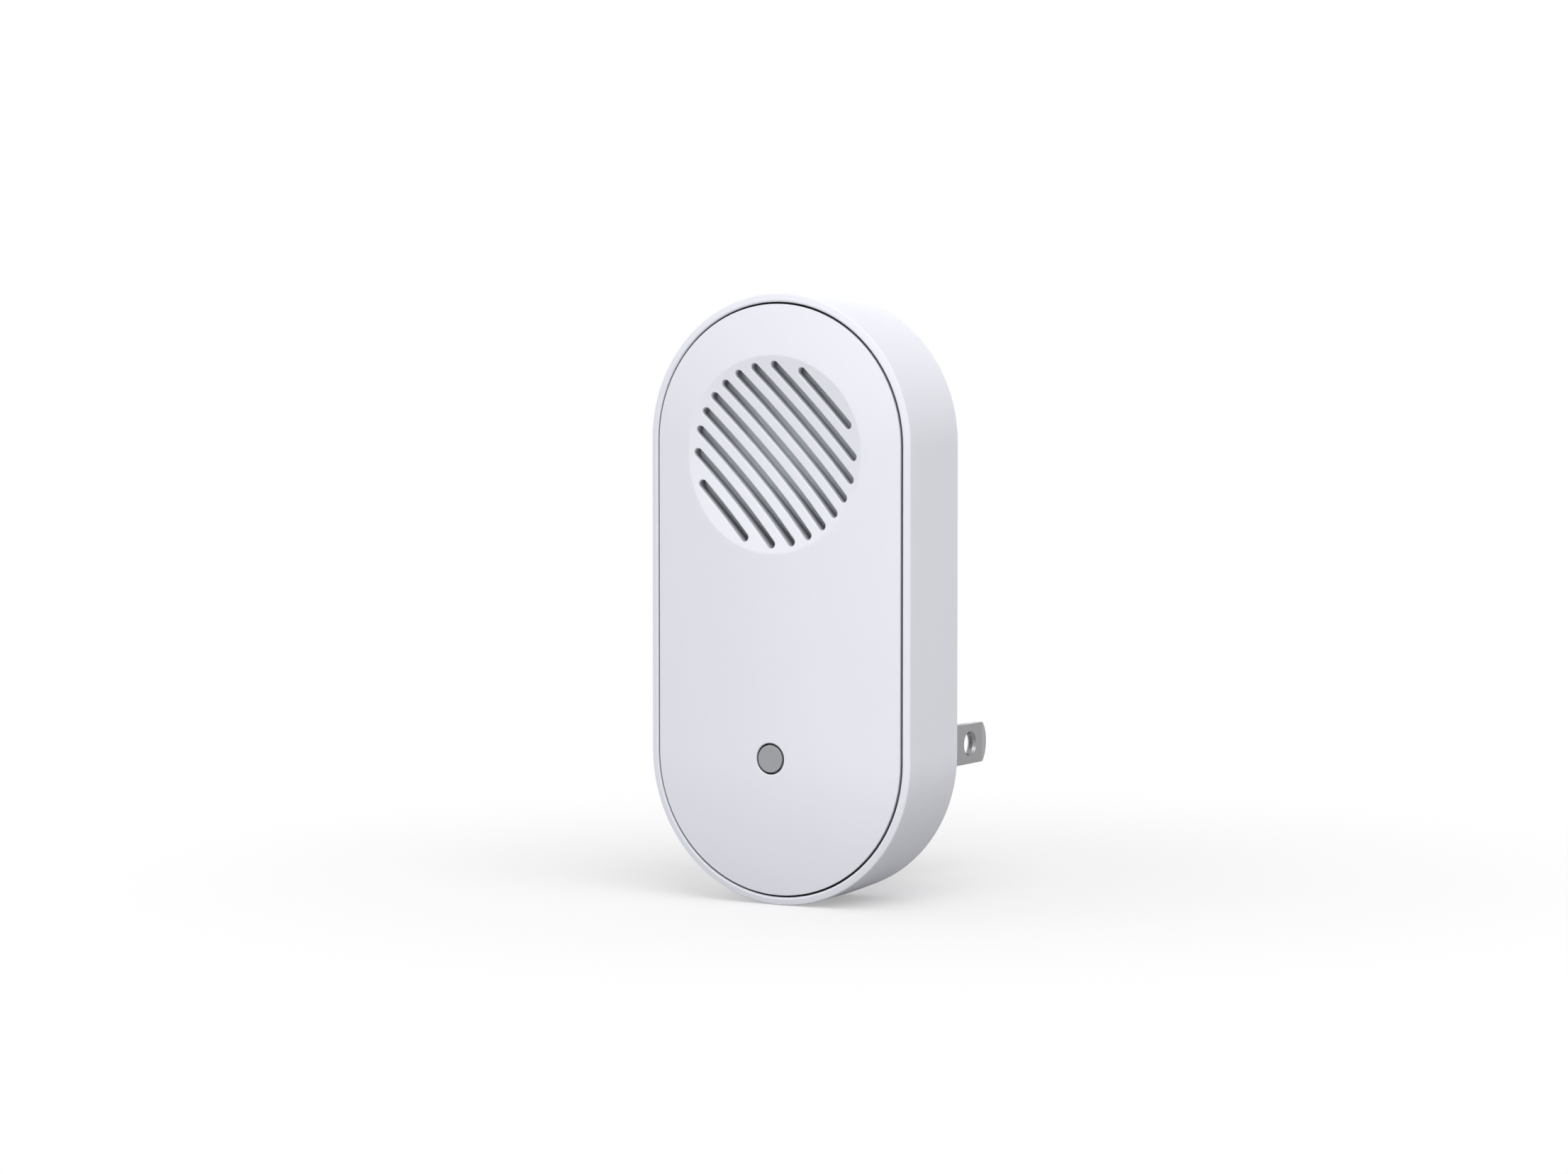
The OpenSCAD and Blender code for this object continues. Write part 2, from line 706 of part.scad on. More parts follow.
// A round tube swept along points that keep to one value of x
module tube_along(points, r, sides = 8) {
    last = len(points) - 1;
    function heading(i) =
        let (d = points[min(i + 1, last)] - points[max(i - 1, 0)]) d / norm(d);
    rings = [for (i = [0 : last], k = [0 : sides - 1])
        let (turn = (k + 0.5) * 360 / sides, along = heading(i))
        points[i] + r * cos(turn) * [1, 0, 0] + r * sin(turn) * [0, along.z, -along.y]];
    sides_faces = [for (i = [0 : last - 1], k = [0 : sides - 1])
        let (next = (k + 1) % sides)
        [i * sides + k, i * sides + next, (i + 1) * sides + next, (i + 1) * sides + k]];
    first_cap = [for (k = [sides - 1 : -1 : 0]) k];
    last_cap = [for (k = [0 : sides - 1]) last * sides + k];
    polyhedron(rings, concat(sides_faces, [first_cap], [last_cap]));
}

// One speaker lead: off the terminal's back, down past its edge and in an easy S into the plug
module speaker_lead(side) {
    steps = 12;
    start = [side * lead_x, speaker_y + tab_front + tab_t + terminal_t + lead_r, dish_z - tab_in - 1.4];
    bend = [start.x, start.y, dish_z - tab_out - 0.2];
    end = [start.x, board_y - connector_size.z / 2, plug_z + plug_size.y];
    s_bend = [for (i = [0 : steps]) let (across = (1 - cos(180 * i / steps)) / 2)
        [bend.x, bend.y + (end.y - bend.y) * across, bend.z + (end.z - bend.z) * i / steps]];
    tube_along(concat([start], s_bend), lead_r);
}

module speaker_lead_red() color([0.75, 0.08, 0.08]) speaker_lead(-1);

module speaker_lead_black() color(black) speaker_lead(1);

module connector_pocket(play) {
    translate([-plug_size.x / 2 - play, board_y - connector_size.z / 2 - plug_size.z / 2 - play,
        plug_z - play])
        cube([plug_size.x + 2 * play, plug_size.z + 2 * play, plug_size.y + 2 * play]);
}

module speaker_plug() color([0.9, 0.89, 0.84]) connector_pocket(0);

module speaker_connector() color([0.88, 0.87, 0.82]) difference() {
    block_front([0, connector_z], board_y, connector_size);
    connector_pocket(plug_play);
}

// ---- Main board ----

module main_board() color(board_green) difference() {
    translate([0, 0, body_z]) pill_slab(board_hw, board_straight, board_y, board_back_y);
    for (z = post_z, side = [-1, 1])
        facing_back(side * post_x, board_y - past, z) cylinder(r = screw_hole_r, h = board_t + 2 * past);
    for (k = [-1, 0, 1])
        facing_back(k * pin_pitch, board_y - past, header_z)
            cylinder(r = pin_hole_r, h = board_t + 2 * past);
}

module board_screws() color(steel) for (z = post_z, side = [-1, 1])
    facing_back(side * post_x, board_y, z) screw(board_t + board_gap);

module wireless_module() color([0.06, 0.2, 0.34]) block_front(module_at, board_y, module_size);

module rf_shield() color(steel) difference() {
    at = [module_at.x, module_at.y - shield_edge];
    block_front(at, board_y - module_size.z, shield_size);
    block_front(at, board_y - module_size.z + eps,
        [shield_size.x - 2 * shield_t, shield_size.y - 2 * shield_t, shield_size.z - shield_t + eps]);
}

module chip_antenna() color([0.86, 0.84, 0.78])
    block_front([module_at.x, module_at.y + module_size.y / 2 - antenna_edge],
        board_y - module_size.z, antenna_size);

// A chip with rows of leads on two sides
module chip(at, size, leads) {
    block_front(at, board_y - chip_lift, [size.x, size.y, size.z - chip_lift]);
    pitch = (size.y - 2 * chip_margin) / (leads - 1);
    for (k = [0 : leads - 1], side = [0, 1])
        translate([at.x, board_y, at.y - size.y / 2 + chip_margin + k * pitch]) mirror([side, 0, 0])
            translate([size.x / 2 - eps, -chip_lead.y, -chip_lead.z / 2]) cube(chip_lead);
}

module main_processor() color(black) chip(processor_at, processor_size, 9);

module flash_memory() color(black) chip(flash_at, flash_size, 4);

module audio_amplifier() color(black) chip(amplifier_at, amplifier_size, 4);

module crystal() color(steel) block_front(crystal_at, board_y, crystal_size);

module power_inductor() color([0.2, 0.2, 0.2]) block_front(inductor_at, board_y, inductor_size);

module board_capacitors() color([0.8, 0.8, 0.82]) for (side = [-1, 1])
    facing_front(side * board_cap_at.x, board_y, board_cap_at.y) can(board_cap_r, board_cap_h);

module smd_parts() color([0.6, 0.5, 0.35]) {
    for (row = chip_rows, k = [0 : row[2] - 1])
        block_front([row[0] + chip_step * k, row[1]], board_y, chip_size);
    for (k = [0 : 2])
        block_front([connector_size.x / 2 + chip_size.x, chip_column_z + chip_step * k], board_y, chip_size);
}

module status_led() color([0.95, 0.95, 0.88]) block_front(led_at, board_y, led_size);

// ---- Button and switch ----

module button_cap() color(grey) {
    stem_end = board_y - plunger_top - touch_gap;
    facing_back(0, front_y, button_z) {
        cylinder(r = button_r, h = flange_front_y - front_y + eps);
        translate([0, 0, flange_front_y - front_y]) cylinder(r = flange_r, h = button_flange_t);
        translate([0, 0, flange_front_y - front_y]) cylinder(r = stem_r, h = stem_end - flange_front_y);
    }
}

module switch_base() color([0.13, 0.13, 0.14]) facing_front(0, board_y, button_z) difference() {
    translate([-switch_w / 2, -switch_w / 2, 0]) cube([switch_w, switch_w, switch_h]);
    translate([0, 0, switch_cavity]) cylinder(r = switch_cavity_r, h = switch_h);
}

module switch_plate() color(steel) facing_front(0, board_y, button_z) difference() {
    translate([-switch_w / 2, -switch_w / 2, switch_h]) cube([switch_w, switch_w, switch_plate_t]);
    cylinder(r = plunger_hole_r, h = 10);
}

module switch_dome() color([0.85, 0.82, 0.7]) facing_front(0, board_y, button_z) rotate_extrude() {
    top = plunger_bottom - touch_gap;
    curve = (dome_rim_r * dome_rim_r + dome_rise * dome_rise) / (2 * dome_rise);
    intersection() {
        difference() {
            translate([0, top - curve]) circle(curve);
            translate([0, top - curve]) circle(curve - dome_t);
        }
        translate([0, switch_cavity]) square([dome_rim_r, switch_h]);
    }
}

module switch_plunger() color([0.15, 0.15, 0.16]) facing_front(0, board_y, button_z) {
    translate([0, 0, plunger_bottom]) cylinder(r = plunger_r, h = plunger_top - plunger_bottom);
    translate([0, 0, plunger_bottom]) cylinder(r = plunger_foot_r, h = plunger_foot_t);
}

// ---- Power supply ----

module header_body(play, y0, y1) {
    translate([-header_size.x / 2 - play, y0, header_z - header_size.y / 2 - play])
        cube([header_size.x + 2 * play, y1 - y0, header_size.y + 2 * play]);
}

module power_header() color(black) difference() {
    header_len = power_board_y - board_back_y;
    header_body(0, board_back_y, power_board_y);
    for (k = [-1, 0, 1]) translate([k * pin_pitch, (board_back_y + power_board_y) / 2, header_z])
        cube([pin_w, header_len + 2 * past, pin_w], center = true);
}

module power_pins() color([0.85, 0.72, 0.35]) for (k = [-1, 0, 1])
    translate([k * pin_pitch - pin_w / 2, board_y - pin_end, header_z - pin_w / 2])
        cube([pin_w, shelf_y - board_y + 2 * pin_end, pin_w]);

module mains_barrier() color([0.82, 0.83, 0.84]) difference() {
    translate([0, 0, pocket_z]) pill_slab(barrier_hw, plug_straight / 2, barrier_y, inner_back_y);
    header_body(header_play, barrier_y - past, inner_back_y + past);
    for (z = barrier_screw_z, side = [-1, 1])
        facing_back(side * barrier_screw_x, barrier_y - past, pocket_z + z)
            cylinder(r = screw_hole_r, h = barrier_t + 2 * past);
}

module barrier_screws() color(steel) for (z = barrier_screw_z, side = [-1, 1])
    facing_back(side * barrier_screw_x, barrier_y, pocket_z + z) screw(barrier_t + screw_len);

module insulation_sheet() color([0.2, 0.28, 0.2]) difference() {
    translate([0, 0, pocket_z])
        pill_slab(power_board_hw - sheet_margin, plug_straight / 2, power_board_y - sheet_t, power_board_y);
    header_body(header_play, power_board_y - past, power_board_y + past);
}

module power_board() color([0.55, 0.42, 0.16]) difference() {
    translate([0, 0, pocket_z]) pill_slab(power_board_hw, plug_straight / 2, power_board_y, shelf_y);
    for (k = [-1, 0, 1])
        facing_back(k * pin_pitch, power_board_y - past, header_z)
            cylinder(r = pin_hole_r, h = power_board_t + 2 * past);
}

module transformer_core() color([0.17, 0.16, 0.16]) {
    depth = core_size.z - core_lift;
    for (side = [-1, 1]) block_back([0, core_z + side * (core_size.y - core_leg) / 2], shelf_y + core_lift,
        [core_size.x, core_leg, depth]);
    for (x = [-1, 0, 1]) block_back([x * (core_size.x - core_leg) / 2, core_z], shelf_y + core_lift,
        [core_leg, core_size.y - 2 * core_leg, depth]);
}

module transformer_winding() color([0.86, 0.7, 0.1]) difference() {
    window = (core_size.x - 3 * core_leg) / 2;
    wound = [core_leg + 2 * (window - winding_gap), core_size.y - 2 * (core_leg + winding_gap)];
    foot = [core_size.x - 2 * bobbin_inset, core_size.y - 2 * bobbin_inset];
    union() {
        block_back([0, core_z], shelf_y + core_lift, [wound.x, wound.y, core_size.z - core_lift]);
        // Bobbin foot under the core
        block_back([0, core_z], shelf_y, [foot.x, foot.y, core_lift]);
    }
    block_back([0, core_z], shelf_y + core_lift, [core_leg, wound.y + 2 * past, core_size.z]);
}

module input_capacitor() color([0.12, 0.14, 0.3])
    facing_back(input_cap_at.x, shelf_y, input_cap_at.y) can(input_cap_r, input_cap_h);

module filter_choke() color(copper) facing_back(choke_at.x, shelf_y, choke_at.y)
    rotate_extrude() difference() {
        square([choke_r, choke_h]);
        translate([choke_r - choke_groove, choke_flange])
            square([choke_groove + past, choke_h - 2 * choke_flange]);
    }

module output_capacitor() color([0.1, 0.25, 0.2])
    facing_back(0, shelf_y, output_cap_z) can(output_cap_r, output_cap_h);

module bridge_rectifier() color(black) block_back([0, bridge_z], shelf_y, bridge_size);

module fuse_resistor() color([0.75, 0.67, 0.5])
    facing_back(0, shelf_y, fuse_z) axial_part(fuse_r, fuse_len, fuse_r + fuse_lift);

module power_controller() color(black) block_back([0, controller_z], shelf_y, controller_size);

// ---- Plug ----

module blade_carrier() color([0.2, 0.2, 0.22]) difference() {
    intersection() {
        translate([0, 0, pocket_z])
            pill_slab(carrier_hw, plug_straight / 2, -outlet_wall - carrier_t, -outlet_wall);
        translate([-carrier_hw, back_y, carrier_z[0]])
            cube([2 * carrier_hw, plug_depth, carrier_z[1] - carrier_z[0]]);
    }
    for (side = [-1, 1]) translate([side * blade_spacing / 2, -outlet_wall - carrier_t / 2, 0])
        cube([blade_t, carrier_t + 2 * past, blade_w], center = true);
}

module blade_contacts() color([0.8, 0.62, 0.3]) for (side = [0, 1]) mirror([side, 0, 0])
    translate([blade_spacing / 2 + blade_t / 2, shelf_y, -contact_w / 2])
        cube([contact_t, contact_end_y - shelf_y, contact_w]);

// A flat blade with an arched, bevelled tip and a countersunk hole
module blade() difference() {
    tip_r = (pow(blade_w / 2, 2) + pow(blade_bulge, 2)) / (2 * blade_bulge);
    bevel_len = blade_bulge + 0.3;
    sink = (blade_sink_d - blade_hole_d) / 2;
    intersection() {
        translate([-blade_t, 0, 0]) rotate([90, 0, 90]) linear_extrude(2 * blade_t) intersection() {
            translate([-blade_tail, -blade_w / 2]) square([blade_tail + blade_len, blade_w]);
            union() {
                translate([blade_len - tip_r, 0]) circle(tip_r);
                translate([-blade_tail, -blade_w / 2]) square([blade_tail + blade_hole_y, blade_w]);
            }
        }
        translate([0, 0, -blade_w]) linear_extrude(2 * blade_w) polygon([
            [-blade_t / 2, -blade_tail], [blade_t / 2, -blade_tail],
            [blade_t / 2, blade_len - bevel_len], [blade_t / 2 - blade_bevel, blade_len],
            [-blade_t / 2 + blade_bevel, blade_len], [-blade_t / 2, blade_len - bevel_len],
        ]);
    }
    translate([0, blade_hole_y, 0]) rotate([0, 90, 0]) {
        cylinder(d = blade_hole_d, h = 4 * blade_t, center = true);
        for (side = [0, 1]) mirror([0, 0, side]) translate([0, 0, blade_t / 2 - sink / 2])
            cylinder(d1 = blade_hole_d - eps, d2 = blade_sink_d + 2 * sink, h = sink);
    }
}

module plug_blade_left() color([0.66, 0.66, 0.67]) translate([-blade_spacing / 2, 0, 0]) blade();

module plug_blade_right() color([0.66, 0.66, 0.67]) translate([blade_spacing / 2, 0, 0]) blade();

front_cover();
rear_housing();
rating_label();
speaker_mesh();
speaker_gasket();
speaker_frame();
speaker_surround();
speaker_cone();
dust_cap();
voice_coil();
top_plate();
speaker_magnet();
magnet_yoke();
speaker_terminal();
speaker_clamp();
clamp_screws();
speaker_lead_red();
speaker_lead_black();
speaker_plug();
speaker_connector();
main_board();
board_screws();
wireless_module();
rf_shield();
chip_antenna();
main_processor();
flash_memory();
audio_amplifier();
crystal();
power_inductor();
board_capacitors();
smd_parts();
status_led();
button_cap();
switch_base();
switch_plate();
switch_dome();
switch_plunger();
power_header();
power_pins();
mains_barrier();
barrier_screws();
insulation_sheet();
power_board();
transformer_core();
transformer_winding();
input_capacitor();
filter_choke();
output_capacitor();
bridge_rectifier();
fuse_resistor();
power_controller();
blade_carrier();
blade_contacts();
plug_blade_left();
plug_blade_right();
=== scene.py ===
"""The looks of a plug-in doorbell chime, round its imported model. Shapes are worked out in millimetres."""

import json
from math import asin, cos, hypot, pi, radians, sin, sqrt

import bmesh
import bpy
from mathutils import Matrix, Vector, geometry


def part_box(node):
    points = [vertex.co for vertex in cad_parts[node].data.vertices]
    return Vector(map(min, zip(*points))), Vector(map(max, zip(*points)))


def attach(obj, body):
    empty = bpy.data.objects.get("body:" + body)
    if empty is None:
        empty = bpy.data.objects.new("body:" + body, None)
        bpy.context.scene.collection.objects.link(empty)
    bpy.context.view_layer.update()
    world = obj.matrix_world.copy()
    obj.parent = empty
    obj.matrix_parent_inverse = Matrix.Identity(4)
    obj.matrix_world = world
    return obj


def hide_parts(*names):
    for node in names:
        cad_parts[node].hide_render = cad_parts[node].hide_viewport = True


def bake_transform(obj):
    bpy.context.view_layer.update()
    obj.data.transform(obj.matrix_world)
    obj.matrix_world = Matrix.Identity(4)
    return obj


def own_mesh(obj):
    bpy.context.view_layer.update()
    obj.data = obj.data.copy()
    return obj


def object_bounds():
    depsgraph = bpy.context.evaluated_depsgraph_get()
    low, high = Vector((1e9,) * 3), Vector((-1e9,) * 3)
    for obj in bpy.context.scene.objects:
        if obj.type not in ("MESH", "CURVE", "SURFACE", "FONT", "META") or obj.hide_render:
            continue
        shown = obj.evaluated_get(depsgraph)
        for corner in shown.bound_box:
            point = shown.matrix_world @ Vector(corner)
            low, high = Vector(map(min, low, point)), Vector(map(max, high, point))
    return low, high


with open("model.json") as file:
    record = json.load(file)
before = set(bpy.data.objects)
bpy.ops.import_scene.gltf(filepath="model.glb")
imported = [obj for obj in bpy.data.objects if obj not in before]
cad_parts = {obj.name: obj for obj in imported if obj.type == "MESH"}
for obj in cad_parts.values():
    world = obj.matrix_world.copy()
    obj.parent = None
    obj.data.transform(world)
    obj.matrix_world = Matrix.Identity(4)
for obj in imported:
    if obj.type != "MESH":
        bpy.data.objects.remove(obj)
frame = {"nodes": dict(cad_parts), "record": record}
CAD_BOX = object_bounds()
MM = 0.001

# ---- Sizes in millimetres: HW is half a width, and each EDGE is a rounding ----

BODY_HW, STRAIGHT = 22.75, 23.95
# The rim falls back to its outer edge, and the band swells a little on the way to the back
RIM_Y, RIM_DROP, RIM_EDGE, RIM_SEAM_EDGE = -36.4, 0.4, 0.3, 0.3
BAND_SWELL_HW, BAND_SWELL_Y, BAND_SWELL_R = 22.56, -27.0, 160.0
BACK_HW, BACK_Y, BACK_EDGE = 22.0, -19.1, 1.2
RECESS_HW, LEDGE_Y = 21.48, -33.4
CAVITY_HW, INNER_BACK_Y = 20.2, -21.1

FRONT_Y, COVER_HW, COVER_WALL, COVER_EDGE = -39.0, 21.18, 1.9, 0.1
SKIRT_HW, SKIRT_T, SKIRT_Y, SKIRT_EDGE = 20.0, 1.2, -30.2, 0.2
DOME_H = RIM_Y - FRONT_Y
DOME_R = (COVER_HW ** 2 + DOME_H ** 2) / (2 * DOME_H)

BUTTON_Z = 1.95
BODY_Z = BUTTON_Z + STRAIGHT
BUTTON_R, BUTTON_HOLE_R, BUTTON_LIP, BUTTON_EDGE = 2.1, 2.4, 0.22, 0.12
BUTTON_MIDDLE_R, BUTTON_STEM_R = 0.3, 1.5
BUTTON_FLANGE_R, BUTTON_FLANGE_T, FLANGE_EDGE, FLANGE_PLAY = 3.0, 0.85, 0.1, 0.1
FLANGE_Y = FRONT_Y + COVER_WALL + FLANGE_PLAY
GUIDE_IN, GUIDE_T, GUIDE_Y = 3.3, 1.0, FLANGE_Y + 3.1

DISH_R, DISH_DEPTH, DISH_DROP, DISH_EDGE = 15.17, 2.4, 1.65, 0.04
DISH_Z = BODY_Z + STRAIGHT - DISH_DROP
DISH_Y = FRONT_Y + DISH_DEPTH
GRILLE_BACK_Y, SPEAKER_R, GRILLE_RISE = DISH_Y + 1.1, 15, 1.4
GRILLE_CURVE = (SPEAKER_R ** 2 + GRILLE_RISE ** 2) / (2 * GRILLE_RISE)
SLOT_COUNT, SLOT_W, SLOT_PITCH, SLOT_FIELD_R = 10, 1.27, 2.756, 13.6
SLOT_LEAN, SLOT_LIP = radians(45), 0.17
BOWL_R, SPEAKER_HOLE_R, COLLAR_R, COLLAR_Y = 14.3, 15.3, 16.5, -31.65

PLUG_STRAIGHT = 31.0
POCKET_Z = BUTTON_Z + PLUG_STRAIGHT / 2
PLUG_BASE_HW, PLUG_FACE_HW, PLUG_EDGE, PLUG_ROOT = 13.6, 10.8, 0.8, 0.5
MOUTH_HW, POCKET_HW, SHELF_Y, OUTLET_WALL = 9.9, 9.2, -18.4, 2.2

BLADE_X, BLADE_T, BLADE_W, BLADE_LEN, BLADE_TAIL = 6.35, 1.52, 6.35, 17.8, 11.0
BLADE_BULGE, BLADE_BEVEL, BLADE_BEVEL_LEN, BLADE_EDGE = 1.8, 0.35, 2.1, 0.1
BLADE_HOLE_Y, BLADE_HOLE_R, BLADE_SINK_R = 11.8, 1.59, 2.02
BLADE_SLOT_PLAY, BLADE_SLOT_EDGE = 0.1, 0.2

LABEL_Z, LABEL_W, LABEL_H, LABEL_T, LABEL_RECESS, LABEL_MARGIN = 58.85, 22.0, 8.0, 0.15, 0.2, 0.3
LABEL_CORNER_R, LABEL_EDGE = 1.0, 0.05

# The speaker's rubber roll, which bends between the frame and the cone
ROLL_Y, ROLL_R, ROLL_OUT, ROLL_T, ROLL_FOOT_IN, ROLL_FOOT_OUT = -34.5, 11.85, 0.95, 0.25, 9.9, 13.95
ROLL_SECTORS = 24

# Painted shade: how deep in a gap its walls are painted fully dark, standing in for the shade that falls
# there:
# in the slots, where the darkest is limited, in the seam and in the ring round the button
SLOT_PAINTED_SHADE_DEPTH, SLOT_PAINTED_SHADE_MAX, SEAM_PAINTED_SHADE_DEPTH, RING_PAINTED_SHADE_DEPTH = 1.6, 0.85, 0.9, 0.2

# How finely round shapes are cut
ARC_STEPS, SIDE_STEPS, ROUND_STEPS, CORNER_STEPS = 96, 16, 4, 6
BUTTON_HOLE_STEPS, BUTTON_STEPS = 24, 32
SLOT_END_STEPS, SLOT_STEP = 10, 0.4
BLADE_TIP_STEPS, BLADE_HOLE_STEPS = 20, 48
SECTOR_STEPS, ROLL_STEPS = 3, 12
INNER_REACHES, INNER_STEPS = (4, 8, 12, 16), 24

# Points on the face between its holes: outlines on the dome, rings at the dish's edge and a grid in it
DOME_REACHES = (1.5, 4, 7, 10, 13, 16, 18.5, 20.2)
DISH_RINGS = (-0.5, -0.25, -0.12, 0, 0.12, 0.25, 0.5)
DISH_STEP = 0.68
HOLE_CLEAR = 0.12
# How far inside a rounded edge the flat or curved face starts
FACE_IN = 0.4
WELD = 0.0001

# ---- Looks: levels run from 0 to 255 ----

SHELL_LEVELS = (241, 242, 250)
# A wave texture of scale 1 repeats after this distance
WAVE_PERIOD = 2 * pi / 20

# ---- Stage, in metres, degrees and watts ----

CAMERA_PLACE, CAMERA_TURN, CAMERA_RISE, CAMERA_LENS = (0.4486, -0.8027, 0.0982), 30.29, 4.52, 134.46
CAMERA_SENSOR, CAMERA_CLIP = 36, 0.05
FLOOR_HALF, FLOOR_FADE = 6.0, (0.0, 0.14)
FLOOR_SEEN, FLOOR_LIFT, FLOOR_BOUNCE = 0.64, 0.283, 0.45
WORLD_LEVEL, WORLD_LEAN = 0.472, (-0.242, 0.241, 0.0)
# Soft square lamps as (direction from the object, distance, size, watts)
LAMPS = {
    "key": ((0.5, -0.4, 0.75), 1.2, 1.1, 9.55),
    "front": ((0.0, -1.0, 0.1), 1.5, 1.0, 8.25),
    "left": ((-1.0, -0.6, 0.3), 1.4, 0.8, 0.84),
    "right": ((1.0, -0.1, 0.1), 1.4, 0.8, 0.5),
    "over": ((-0.1, 0.3, 1.0), 1.3, 0.8, 0.75),
    "rear": ((-0.2, 1.0, 0.05), 1.5, 1.0, 3.0),
}


# ---- Mesh tools ----

class Shell:
    """Gathers faces that have a normal at each corner, and welds their points into one mesh."""

    def __init__(self):
        self.points, self.index, self.faces, self.normals = [], {}, [], []

    def face(self, corners):
        """Adds a face from (point, normal) corners, wound to face the way that its normals point."""
        ids, normals = [], []
        for point, normal in corners:
            key = tuple(round(c / WELD) for c in point)
            if key not in self.index:
                self.index[key] = len(self.points)
                self.points.append(Vector(point))
            if self.index[key] not in ids:
                ids.append(self.index[key])
                normals.append(Vector(normal))
        if len(ids) < 3:
            return
        a, b, c = (self.points[i] for i in ids[:3])
        flat = (b - a).cross(c - a)
        if flat.dot(sum(normals, Vector())) < 0:
            ids.reverse()
            normals.reverse()
        self.faces.append(ids)
        self.normals.extend(normals)

    def strip(self, first, second):
        """Joins two closed rings of (point, normal) with quads."""
        for k in range(len(first)):
            self.face([first[k - 1], first[k], second[k], second[k - 1]])

    def build(self, name, painted_shade=None):
        """Makes the object. Painted shade for the walls of its gaps is stored on its points, from 0 at the
        mouth of a gap to 1 where the painted shade is full.
        """
        mesh = bpy.data.meshes.new(name)
        mesh.from_pydata([p * MM for p in self.points], [], self.faces)
        mesh.shade_smooth()
        if painted_shade:
            layer = mesh.attributes.new("painted_shade", "FLOAT", "POINT")
            layer.data.foreach_set("value", [painted_shade(*p) for p in self.points])
        mesh.normals_split_custom_set([n.normalized() for n in self.normals])
        obj = bpy.data.objects.new(name, mesh)
        bpy.context.scene.collection.objects.link(obj)
        return obj


def pill(x, z, half_len, lean=pi / 2, steps=ARC_STEPS // 2, side_steps=SIDE_STEPS):
    """Stations round a pill, or a circle if it has no length: (base x, base z, outward x, outward z)."""
    along = (cos(lean), sin(lean))
    stations = []
    for end in (1, -1):
        base = (x + end * half_len * along[0], z + end * half_len * along[1])
        start = lean - pi / 2 if end == 1 else lean + pi / 2
        for k in range(steps + (1 if half_len else 0)):
            turn = start + pi * k / steps
            stations.append((*base, cos(turn), sin(turn)))
        if half_len:
            turn = start + pi
            for k in range(1, side_steps):
                slide = end * half_len * (1 - 2 * k / side_steps)
                stations.append((x + slide * along[0], z + slide * along[1], cos(turn), sin(turn)))
    return stations


def ring(stations, reach, y, normal):
    """One ring round the stations: normal is (outward part, y part)."""
    return [((bx + reach * ox, y, bz + reach * oz), (normal[0] * ox, normal[1], normal[0] * oz))
            for bx, bz, ox, oz in stations]


def flat_loop(stations, reach):
    return [(bx + reach * ox, bz + reach * oz) for bx, bz, ox, oz in stations]


def runs(corners):
    """Smooth runs of (point, normal) along an outline of (reach, y, rounding) corners, solid on its left."""
    points = [Vector(c[:2]) for c in corners]
    ahead = [(b - a).normalized() for a, b in zip(points, points[1:])]
    normals = [Vector((d.y, -d.x)) for d in ahead]
    run = [(points[0], normals[0])]
    done = []
    for k in range(1, len(points) - 1):
        before, after, radius = normals[k - 1], normals[k], corners[k][2]
        if not radius:
            run.append((points[k], before))
            done.append(run)
            run = [(points[k], after)]
            continue
        convex = 1 if ahead[k - 1].cross(ahead[k]) > 0 else -1
        centre = points[k] - convex * radius * (before + after) / (1 + before.dot(after))
        for j in range(ROUND_STEPS + 1):
            normal = before.slerp(after, j / ROUND_STEPS)
            run.append((centre + convex * radius * normal, normal))
    run.append((points[-1], normals[-1]))
    done.append(run)
    return done


def sweep(shell, stations, corners):
    """Sweeps an open outline round the stations."""
    for run in runs(corners):
        rings = [ring(stations, p.x, p.y, n) for p, n in run]
        for first, second in zip(rings, rings[1:]):
            shell.strip(first, second)


def inside(loop, x, z):
    """Whether a point lies inside a closed loop."""
    odd = False
    for (ax, az), (bx, bz) in zip(loop, loop[1:] + loop[:1]):
        if (az > z) != (bz > z) and x < ax + (z - az) * (bx - ax) / (bz - az):
            odd = not odd
    return odd


def fill(shell, loops, height, normal, extra=(), place=lambda x, z, y: (x, y, z)):
    """Fills the region in the first loop and outside the rest: height and normal give the surface there."""
    points, edges = [], []
    for loop in loops:
        first = len(points)
        points += loop
        edges += [(first + k, first + (k + 1) % len(loop)) for k in range(len(loop))]
    points += extra
    out = geometry.delaunay_2d_cdt([Vector(p) for p in points], edges, [], 0, 1e-5, True)
    source = [points[ids[0]] for ids in out[3]]
    lifted = {}
    for triangle in out[2]:
        corners = [source[i] for i in triangle]
        x, z = (sum(c[k] for c in corners) / 3 for k in (0, 1))
        if not inside(loops[0], x, z) or any(inside(hole, x, z) for hole in loops[1:]):
            continue
        for c in corners:
            if c not in lifted:
                lifted[c] = (place(*c, height(*c)), normal(*c))
        shell.face([lifted[c] for c in corners])


def flat(shell, loops, y, towards):
    fill(shell, loops, lambda x, z: y, lambda x, z: (0, towards, 0))


def wall(shell, loop_a, loop_b, normals):
    """A wall between two closed loops of points, with a normal for each point."""
    shell.strip(list(zip(loop_a, normals)), list(zip(loop_b, normals)))


# ---- Front cover ----

def dome_y(x, z, drop=0):
    """Depth of the dome, or of the surface that lies drop below it."""
    past_end = max(abs(z - BODY_Z) - STRAIGHT, 0)
    return FRONT_Y + DOME_R - sqrt((DOME_R - drop) ** 2 - x * x - past_end ** 2)


